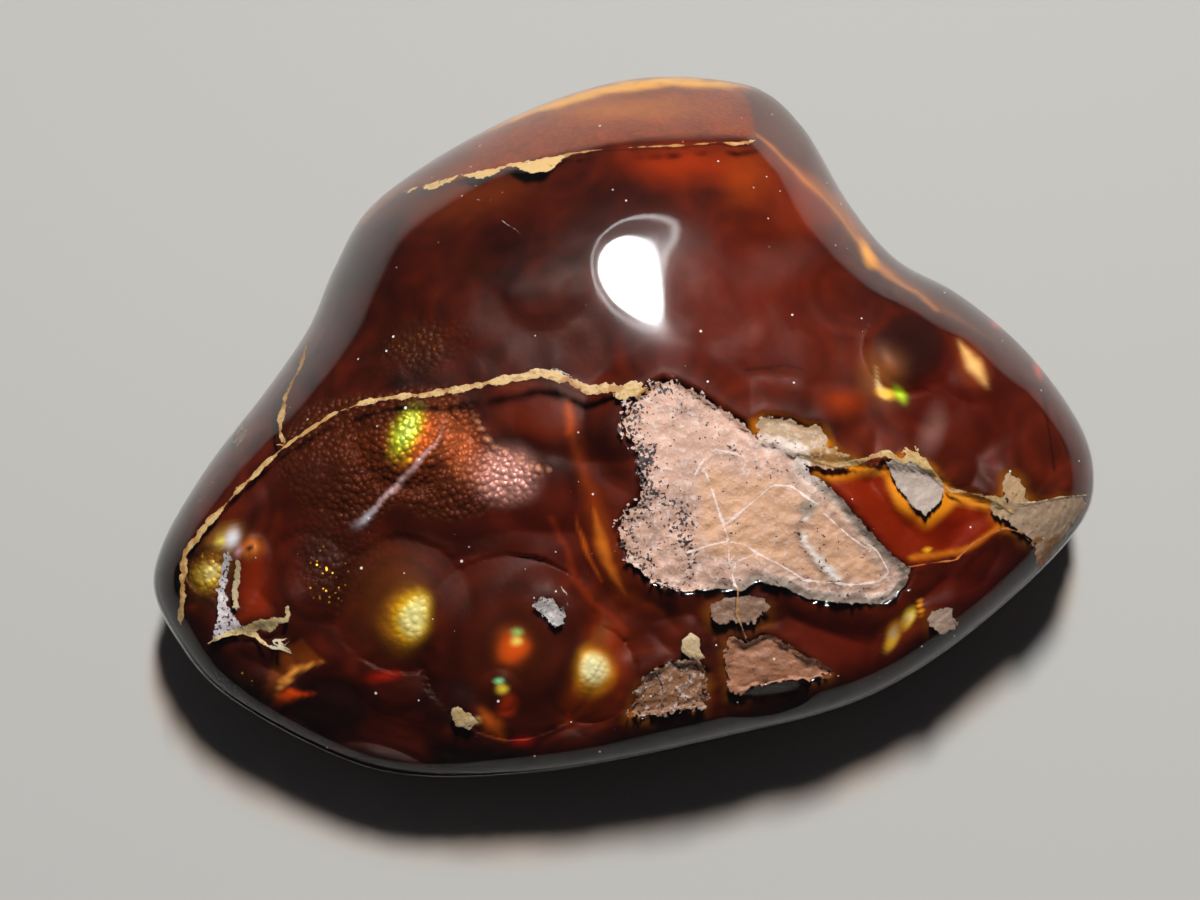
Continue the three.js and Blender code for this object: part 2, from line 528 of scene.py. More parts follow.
PATCHES = (
    Patch(
        "great patch",
        (
            (1.5, 2.25), (1.15, 1.15), (1.6, 0.45), (2.05, -0.25), (2.2, -1.4), (2.05, -2.5), (1.3, -3.15),
            (0.9, -3.9), (1.1, -4.75), (1.5, -5.5), (2.55, -6.55), (3.4, -6.7), (4.15, -7), (5.6, -6.85),
            (7.1, -7), (7.8, -6.45), (9.2, -6.7), (10, -7.2), (10.65, -7.4), (12.25, -7.55), (13.8, -7.6),
            (14.6, -7.35), (15.25, -6.65), (15.45, -6), (14.3, -5.15), (13.1, -3.75), (12.5, -3.1),
            (12.05, -2.5), (11.1, -1.7), (10.25, -1.1), (10, -0.6), (10.1, -0.05), (9, 0.2), (7.8, 0.45),
            (7.1, 1.35), (6.4, 1.7), (5.7, 2.2), (4.65, 2.9), (3.8, 3.3), (3.1, 3.45), (2.2, 2.9),
        ),
        "#D8AC96", 0.22, 1.0, 0.42,
    ),
    Patch(
        "side patch",
        (
            (7.9, 0.7), (8, 1.4), (8.35, 1.6), (9.5, 1.45), (10.25, 1.1), (11, 1.15), (11.35, 0.4),
            (10.75, -0.1), (10.1, -0.25), (9.25, 0.25),
        ),
        "#BE9C78", 0.14, 0.75, 0.16, 0.9,
    ),
    Patch(
        "grey wedge",
        (
            (14.3, -0.6), (15.25, -0.4), (16.25, -0.8), (17.2, -1.6), (17.05, -2.5), (16.25, -3.3),
            (15.55, -2.7), (14.85, -1.8),
        ),
        "#B4A294", 0.02, 0.8, 0.1, 0.9,
    ),
    Patch(
        "end patch",
        (
            (20.35, -2.6), (21.75, -2.55), (24.15, -2.3), (24.2, -2.75), (23.95, -3.2), (23.15, -4.4),
            (21.95, -5.8), (21.8, -5.25), (21.65, -4.5), (20.65, -3.8), (20.35, -3.4),
        ),
        "#A08468", 0.04, 0.9, 0.1, 0.6,
    ),
    Patch(
        "end ochre", ((21.5, -4.2), (22.4, -3.9), (23.4, -3.9), (22.9, -4.8), (21.95, -5.9), (21.75, -4.9)),
        "#8A5A2A", 0.06, 0.9, 0.2,
    ),
    Patch(
        "end flake",
        ((20.25, -1.2), (20.5, -1.15), (21, -1.5), (21.3, -2.25), (21.2, -2.6), (20.4, -2.6), (20.15, -2)),
        "#B89468", 0.02, 0.5, 0.1, 0.5,
    ),
    Patch(
        "end plate", ((19.5, -2.4), (20.25, -2.35), (20.4, -3), (20.35, -3.45), (19.8, -3.3), (19.5, -2.9)),
        "#B09068", 0.04, 0.8, 0.14, 0.5,
    ),
    Patch(
        "amber flakes",
        (
            (9.7, -0.1), (10.8, -0.05), (11.4, 0.35), (12.2, -0.2), (12.9, -0.5), (12.4, -0.85),
            (11.4, -0.95), (10.4, -0.75),
        ),
        "#B07C38", 0.06, 0.9, 0.3, 0.8,
    ),
    Patch(
        "low gritty patch",
        (
            (1.6, -13.1), (2, -12), (2.3, -11.4), (3.1, -10.9), (4, -10.7), (4.8, -10.5), (5.3, -11.1),
            (5.1, -12), (5.2, -12.7), (4, -12.9), (2.9, -13.2),
        ),
        "#8C5E3C", 0.26, 1.0, 0.3, 0.35,
    ),
    Patch(
        "front gritty patch",
        (
            (6.4, -10.25), (6.6, -9.5), (7.4, -9.7), (8.1, -9.3), (8.8, -9.5), (9.75, -10.1), (10.6, -10.6),
            (11.4, -11.1), (10.5, -11.4), (9.2, -11.5), (7.9, -11.7), (7, -12.1), (6.55, -12), (6.4, -11.1),
        ),
        "#A87050", 0.28, 0.8, 0.24, 0.4,
    ),
    Patch(
        "beige under patch",
        (
            (5.55, -7.8), (6.2, -7.4), (7.25, -7.3), (8.3, -7.4), (8.3, -8.1), (7.75, -8.6), (6.9, -8.5),
            (6, -8.7), (5.6, -8.4),
        ),
        "#8A6650", 0.02, 0.9, 0.3, 0.3,
    ),
    Patch(
        "pale block", ((16.4, -8.1), (17.5, -7.9), (17.9, -8.8), (17.2, -9.2), (16.5, -8.8)),
        "#B09480", 0.02, 0.6, 0.16, 0.3,
    ),
    Patch(
        "cream nub",
        ((4.15, -9.5), (4.5, -9.15), (4.95, -9.4), (5, -9.9), (5.2, -10.4), (4.6, -10.5), (4.05, -10)),
        "#C8AC80", -0.12, 0.4, 0.06,
    ),
    Patch(
        "white chip",
        (
            (-3, -7.5), (-2.6, -7.4), (-2.2, -7.65), (-1.7, -8.1), (-1.8, -8.7), (-2.2, -8.85), (-2.7, -8.4),
            (-3.3, -7.8),
        ),
        "#A29A96", 0.03, 1.0, 0.2,
    ),
    Patch(
        "yellow chip",
        ((-7.5, -13.1), (-7.1, -12.8), (-6.6, -13.1), (-6.1, -13.6), (-6.5, -13.9), (-7.2, -13.8)),
        "#B89A66", -0.06, 0.6, 0.1,
    ),
    Patch(
        "grey chip",
        ((-18.4, 0.5), (-18.1, 1.1), (-17.7, 1), (-17.8, 0.5), (-18.2, 0.2)),
        "#7E6E62", 0.05, 0.8, 0.1,
    ),
    Patch(
        "white crust",
        (
            (-18.75, -5.1), (-18.5, -5.4), (-18.65, -6.3), (-18.75, -7.2), (-18.55, -8.1), (-18.1, -8.6),
            (-18, -8.9), (-18.6, -9.25), (-19.35, -9.5), (-19.3, -9.1), (-19.1, -8.4), (-19.15, -7.4),
            (-18.95, -6.3),
        ),
        "#C4BABC", -0.02, 1.0, 0.16,
    ),
    Patch(
        "inner strip",
        (
            (-18.15, -5.5), (-17.95, -5.6), (-18, -6.3), (-18.1, -7), (-18, -7.9), (-18.2, -8.1),
            (-18.4, -7.4), (-18.3, -6.4),
        ),
        "#C8B288", -0.02, 0.4, 0.1,
    ),
    Patch(
        "cream flap",
        (
            (-17.9, -8.9), (-17.2, -8.55), (-16.6, -8.45), (-15.75, -8.35), (-15.7, -7.8), (-15.55, -7.8),
            (-15.55, -8.55), (-16, -8.65), (-16.5, -9.15), (-16.9, -8.95), (-17.4, -9.05),
        ),
        "#D2B67C", -0.04, 0.4, 0.1,
    ),
    Patch(
        "back flake",
        (
            (-9.8, 12.95), (-7.15, 13.7), (-5.65, 14), (-4.35, 14.3), (-1.65, 14.8), (-1.25, 14.9),
            (-1.75, 14.6), (-2.35, 14.1), (-2.75, 13.85), (-3.85, 13.9), (-4.15, 14.15), (-4.75, 14.2),
            (-5.25, 13.8), (-5.8, 13.6), (-6.5, 13.65), (-7.05, 13.72), (-7.5, 13.4), (-8.2, 13.1),
            (-8.6, 13), (-9, 13.2), (-9.65, 12.9),
        ),
        "#E0B878", 0.03, 0.3, 0.1,
    ),
)

VEINS = (
    Vein(
        "long seam",
        (
            (-20.95, -8.45), (-20.85, -6.8), (-20.8, -5.2), (-19.85, -3.95), (-18.9, -2.9), (-17.95, -1.9),
            (-16.9, -0.85), (-15.8, 0.15), (-14.5, 1.05), (-13.15, 1.9), (-12, 2.3), (-10.95, 2.55),
            (-9.7, 2.7), (-8.45, 2.8), (-6.9, 3.1), (-5.5, 3.4), (-4.05, 3.65), (-3, 3.9), (-2.35, 3.8),
            (-1.6, 3.45), (-0.65, 3.05), (0.6, 3.05), (2, 2.95),
        ),
        (
            0.12, 0.2, 0.18, 0.17, 0.14, 0.12, 0.1, 0.1, 0.09, 0.1, 0.11, 0.12, 0.14, 0.16, 0.17, 0.17, 0.19,
            0.22, 0.24, 0.26, 0.28, 0.32, 0.34,
        ),
        "#B8823C", 0.015,
    ),
    Vein(
        "branch seam",
        (
            (-14.7, 5.25), (-14.85, 4.5), (-15.25, 3.65), (-15.65, 2.8), (-15.95, 1.65), (-16, 0.9),
            (-15.85, 0.45),
        ),
        (0.05, 0.09, 0.1, 0.12, 0.14, 0.11, 0.13), "#B07C3C", 0.02,
    ),
    Vein(
        "shoulder seam",
        (
            (-1.65, 14.8), (-0.95, 14.9), (0.3, 15.05), (2, 15.15), (4.35, 15.25), (6, 15.4), (6.6, 15.3),
            (7.5, 15.4),
        ),
        (0.06, 0.1, 0.03, 0.06, 0.07, 0.03, 0.1, 0.12), "#C08440", 0.0,
    ),
    Vein(
        "torn seam",
        (
            (10.1, -0.25), (11.7, -0.75), (12.9, -0.6), (14.3, -0.15), (15.2, -0.6), (15.55, -0.15),
            (16.6, -1.1), (17.45, -2), (18.5, -2.15), (19.9, -2.5), (20.6, -3.05),
        ),
        (0.1, 0.09, 0.16, 0.19, 0.13, 0.24, 0.15, 0.08, 0.14, 0.1, 0.1), "#BC9052", 0.05,
    ),
    Vein(
        "end seam", ((21.2, -2.65), (22, -2.55), (23, -2.35), (24.2, -2.25)), (0.07, 0.05, 0.04, 0.04),
        "#DCC08C", 0.01,
    ),
    Vein(
        "lower crack",
        (
            (15.45, -5.85), (16.6, -5.65), (17.8, -5.5), (18.3, -5), (18.7, -4.6), (19.5, -4.2),
            (20.25, -3.9), (21, -4.1), (21.75, -4.8), (22.05, -5.65),
        ),
        (0.04, 0.045, 0.07, 0.045, 0.06, 0.045, 0.045, 0.05, 0.05, 0.04), "#C8701E", -0.02, 0.0,
    ),
    Vein(
        "foot seam", ((-19.4, -9.55), (-18.6, -9.2), (-17.9, -9.05), (-17.2, -9.3), (-16.6, -9.8)),
        (0.1, 0.14, 0.15, 0.16, 0.09), "#D8BC8C", 0.03,
    ),
    Vein("first streak", ((-16.6, -9.75), (-16.2, -9.5), (-15.8, -9.5)), (0.07, 0.07, 0.04), "#D8C8A8", 0),
    Vein("second streak", ((-16.55, -9.85), (-16.05, -9.7), (-15.5, -10)), (0.07, 0.07, 0.04), "#D8C8A8", 0),
    Vein("third streak", ((-16.5, -9.95), (-16, -9.9), (-15.4, -10.2)), (0.07, 0.07, 0.04), "#D8C8A8", 0),
    Vein("first scratch", ((-6, 12.5), (-5.2, 12.5)), (0.04, 0.03), "#B8A49C", 0.0, 0.0),
    Vein("second scratch", ((-4.75, 11.35), (-4.1, 10.95)), (0.04, 0.03), "#B8A49C", 0.0, 0.0),
    Vein(
        "third scratch", ((-1.85, -7), (-1.65, -7.2), (-1.65, -7.6)), (0.05, 0.05, 0.03), "#C8BCB4", 0.0, 0.0,
    ),
    Vein("nub thread", ((6.9, -6.9), (6.85, -8.2), (7.3, -9.4)), (0.06, 0.06, 0.1), "#B07C3C", 0),
)

VEINLETS = (
    ((5.3, -1.1), (6.2, -3.8), (6.45, -4.55), (6.45, -5.55), (6.75, -6.75)),
    ((6.2, -3.8), (8.65, -1.75), (9.55, -1.8), (10, -2.1), (10.75, -2.65)),
    ((4.4, -5.1), (5.5, -4.75), (6.4, -4.55), (7.3, -4.75), (7.85, -5.15), (9.55, -6.05), (10.2, -6.5),
     (12.65, -6.75), (14, -6.55), (14.45, -6.1), (13.9, -5.1), (13.45, -4.75)),
    ((4.75, -1.2), (5.3, -0.3), (5.75, 0.05), (6.8, -0.2)),
    ((11.35, -3.3), (12.45, -4.3), (13.25, -4.85)),
    ((7.85, -5.15), (6.8, -5.6), (6.6, -6.3)),
)
CRYSTAL_BAND = ((10.75, -2.65), (10.1, -3.85), (10.3, -4.75), (11.2, -5.75), (12, -6.55))
SMOOTH_ROCK = (
    (5.2, -0.8), (8.6, -1.5), (10.9, -2.3), (12.6, -3.7), (14.4, -5.6), (14.2, -6.7), (10.4, -6.6),
    (7.7, -5.5), (5.4, -5.4), (4.9, -3.2),
)


@dataclass(frozen=True)
class StoneForm:
    """The stone's own shape, in the same sizes as its solid."""

    sight: SightPlane = field(default_factory=SightPlane)
    outline: Outline = field(default_factory=Outline)
    girdle_lean: float = -0.45
    crown_height: float = 9.3
    crown_lean: float = -0.22
    crown_bend_up: float = -0.00725
    crown_bend_across: float = -0.0085
    crown_tilt_across: float = -0.015
    rim_rise: float = 13.5
    rim_rise_per_v: float = 0.22
    rim_blend: float = 3
    shoulder: tuple[Point, ...] = (
        (-24, 6), (-14, 11.2), (-9.8, 12.95), (-4.1, 13.9), (0.3, 15), (4.35, 15.25), (7.5, 15.35), (10, 13),
        (11.4, 12.1), (12.7, 10.3), (13.5, 8.95), (16.6, 6.9), (19.5, 5.2), (26, 0),
    )
    shoulder_slope: float = 2.3
    shoulder_round: float = 0.3
    front_fold: tuple[Point, ...] = (
        (-24, -8), (-20.8, -5), (-15.8, 0), (-11, 2.6), (0, 3.6), (6, 2), (14, -0.6), (26, -2),
    )
    front_slope: float = 0.1
    front_round: float = 2.5
    belly_depth: float = 10.4
    belly_depth_per_v: float = 0.17
    belly_fullness: float = 1.9
    belly_round: float = 0.55
    dimples: tuple[Dimple, ...] = (
        Dimple((8.4, -12.35), (2.6, 1.2), 0.12, 0.5),
        Dimple((-18.4, -6.6), (1.9, 2.9), -0.25, 0.7),
        Dimple((-17.2, -9.2), (2.3, 0.9), 0.1, 0.45),
        Dimple((-2.45, -8), (0.9, 0.8), 0, 0.1),
        Dimple((-4.4, -9.5), (5, 4.6), 0, -0.4),
        Dimple((-0.3, -10.9), (1.8, 3), -0.3, -0.3),
        Dimple((-9.4, -8.2), (3, 3.6), 0.3, -0.35),
        Dimple((15.3, 4.8), (2.8, 2.6), 0, -0.4),
        Dimple((19.2, 3.2), (2, 2.2), 0.4, -0.25),
    )
    crack: tuple[Point, ...] = ((9.5, -0.2), (12.9, -0.6), (16.6, -1.1), (18.5, -2.2), (20.6, -3))
    crack_step: float = 0.3
    crack_lip: float = 0.12
    crack_reach: float = 2.2
    crack_fade: float = 1
    rubbed_swell: Point = (11, 0.12)
    rubbed_fade: float = 2.5
    skin_lump: Point = (6.4, 0.42)
    skin_fade: float = 4
    ledge: float = 0.16

    def uneven(self, size: Point, x: Array, y: Array, z: Array) -> Array:
        """Gives the slow swell of a rubbed or grown face.

        Args:
            size: length and height of the swell.
            x: places along one way.
            y: places along another.
            z: places along a third.

        Returns:
            The height of the swell at each place.
        """
        k = 2 * math.pi / size[0]
        first = np.sin(k * (x + 0.37 * y) + 1.3) * np.cos(k * (0.81 * y - 0.29 * z) + 0.4)
        second = np.sin(k * (0.93 * z + 0.41 * x) + 2.1) * np.cos(k * (0.77 * x - 0.52 * y) + 2.9)
        return size[1] * (first + second) / 2

    def relief(self, u: Array, v: Array, rock: Array) -> Array:
        """Gives how far the large marks take the crown down.

        Args:
            u: places across.
            v: places up.
            rock: how far the rock patches take it down.

        Returns:
            The whole depth at each place.
        """
        depth = rock + sum(dimple.fall(u, v) for dimple in self.dimples)
        start, end = self.crack[0][0], self.crack[-1][0]
        below = bent_line(self.crack, u) - v
        along = smooth_step(start - self.crack_fade, start + self.crack_fade, u)
        along = along * (1 - smooth_step(end - self.crack_fade, end + self.crack_fade, u))
        lip = smooth_step(-self.crack_lip, self.crack_lip, below)
        return depth + self.crack_step * along * lip * (1 - smooth_step(0.6, self.crack_reach, below))

    def crown_rise(self, u: Array, v: Array, reach: Array, rock: Array | float = 0.0) -> Array:
        """Gives the crown's height over the girdle sheet.

        Args:
            u: places across.
            v: places up.
            reach: 0 at the middle and 1 on the outline.
            rock: how far the rock patches take it down.

        Returns:
            The height at each place.
        """
        w = self.crown_height + self.crown_lean * v + self.crown_bend_up * v * v
        w = w + self.crown_tilt_across * u + self.crown_bend_across * u * u
        w = w - self.shoulder_slope * beyond_fold(v - bent_line(self.shoulder, u), self.shoulder_round)
        w = w - self.front_slope * beyond_fold(bent_line(self.front_fold, u) - v, self.front_round)
        rim = (self.rim_rise + self.rim_rise_per_v * v) * np.sqrt(np.maximum(1 - reach * reach, 0))
        blend = np.maximum(np.minimum(self.rim_blend, 2 * rim), 1e-9)
        rise = soft_min(w - self.girdle_lean * v, rim, blend)
        change = self.uneven(self.rubbed_swell, u, v, 0 * u) - self.relief(u, v, rock)
        return rise + smooth_step(0, self.rubbed_fade, rise) * change

    def belly_drop(self, u: Array, v: Array, reach: Array) -> Array:
        """Gives the pavilion's depth under the girdle sheet.

        Args:
            u: places across.
            v: places up.
            reach: 0 at the middle and 1 on the outline.

        Returns:
            The depth at each place.
        """
        full = self.belly_depth + self.belly_depth_per_v * v
        drop = full * np.maximum(1 - reach**self.belly_fullness, 0) ** self.belly_round
        return drop + smooth_step(0, self.skin_fade, drop) * self.uneven(self.skin_lump, u, v, drop)

    def stand(self, net: Net, rise: Array, drop: Array, floor: float) -> Array:
        """Carries a piece from the sight plane to the table.

        Args:
            net: the piece's net.
            rise: height of its crown over the girdle sheet.
            drop: depth of its pavilion under the girdle sheet.
            floor: its least height over the table.

        Returns:
            Rows of x, y, z in millimetres.
        """
        level = self.girdle_lean * net.v
        places = self.sight.to_row(net.u, net.v, np.where(net.crown, level + rise, level - drop))
        places[:, 2] = np.maximum(places[:, 2], floor)
        return places


@dataclass(frozen=True)
class Mark:
    """A coloured place of the fire layer: name, colour, strength and how much of it is fire or pebble."""

    name: str
    colour: str
    strength: float
    fire: float = 0.0
    pebble: float = 0.03
    gold: float = 0.0

    def cover(self, u: Array, v: Array) -> Array:
        """Returns how much of each place it covers, from 0 to 1."""
        raise NotImplementedError


@dataclass(frozen=True)
class Wash(Mark):
    """A turned oval with a soft edge."""

    at: Point = (0, 0)
    half: Point = (1, 1)
    turn: float = 0.0
    crisp: float = 0.0

    def cover(self, u: Array, v: Array) -> Array:
        """Returns how much of each place it covers, from 0 to 1."""
        return oval_cover(u, v, self.at, self.half, self.turn, self.crisp)


@dataclass(frozen=True)
class Streak(Mark):
    """A strand with soft sides."""

    line: tuple[Point, ...] = ()
    halves: tuple[float, ...] = (0.3,)
    crisp: float = 0.0

    def cover(self, u: Array, v: Array) -> Array:
        """Returns how much of each place it covers, from 0 to 1."""
        full = max(self.halves) * (1 - self.crisp) + 1e-6
        return smooth_step(0, full, strand_depth(self.line, self.halves, u, v))


@dataclass(frozen=True)
class Panel(Mark):
    """A ring-bounded place with a soft edge."""

    ring: tuple[Point, ...] = ()
    soft: float = 0.2

    def cover(self, u: Array, v: Array) -> Array:
        """Returns how much of each place it covers, from 0 to 1."""
        return smooth_step(-self.soft, self.soft, ring_depth(self.ring, u, v))


@dataclass(frozen=True)
class Dome:
    """A growth of the fire layer that rises towards the polish, with rings of colour around its top."""

    at: Point
    radius: float
    height: float
    rings: float = 0.0
    ring_turns: float = 17

    def rise(self, u: Array, v: Array) -> Array:
        """Returns its height at each place."""
        r = np.hypot(u - self.at[0], v - self.at[1]) / self.radius
        return self.height * np.maximum(1 - r * r, 0)

    def banding(self, u: Array, v: Array) -> Array:
        """Gives its light and dark rings.

        Args:
            u: places across.
            v: places up.

        Returns:
            How much lighter or darker each place is, about zero.
        """
        r = np.hypot(u - self.at[0], v - self.at[1]) / self.radius
        fade = (1 - smooth_step(0.7, 1.0, r)) * smooth_step(0.1, 0.3, r)
        return self.rings * np.sin(r * self.ring_turns) * fade


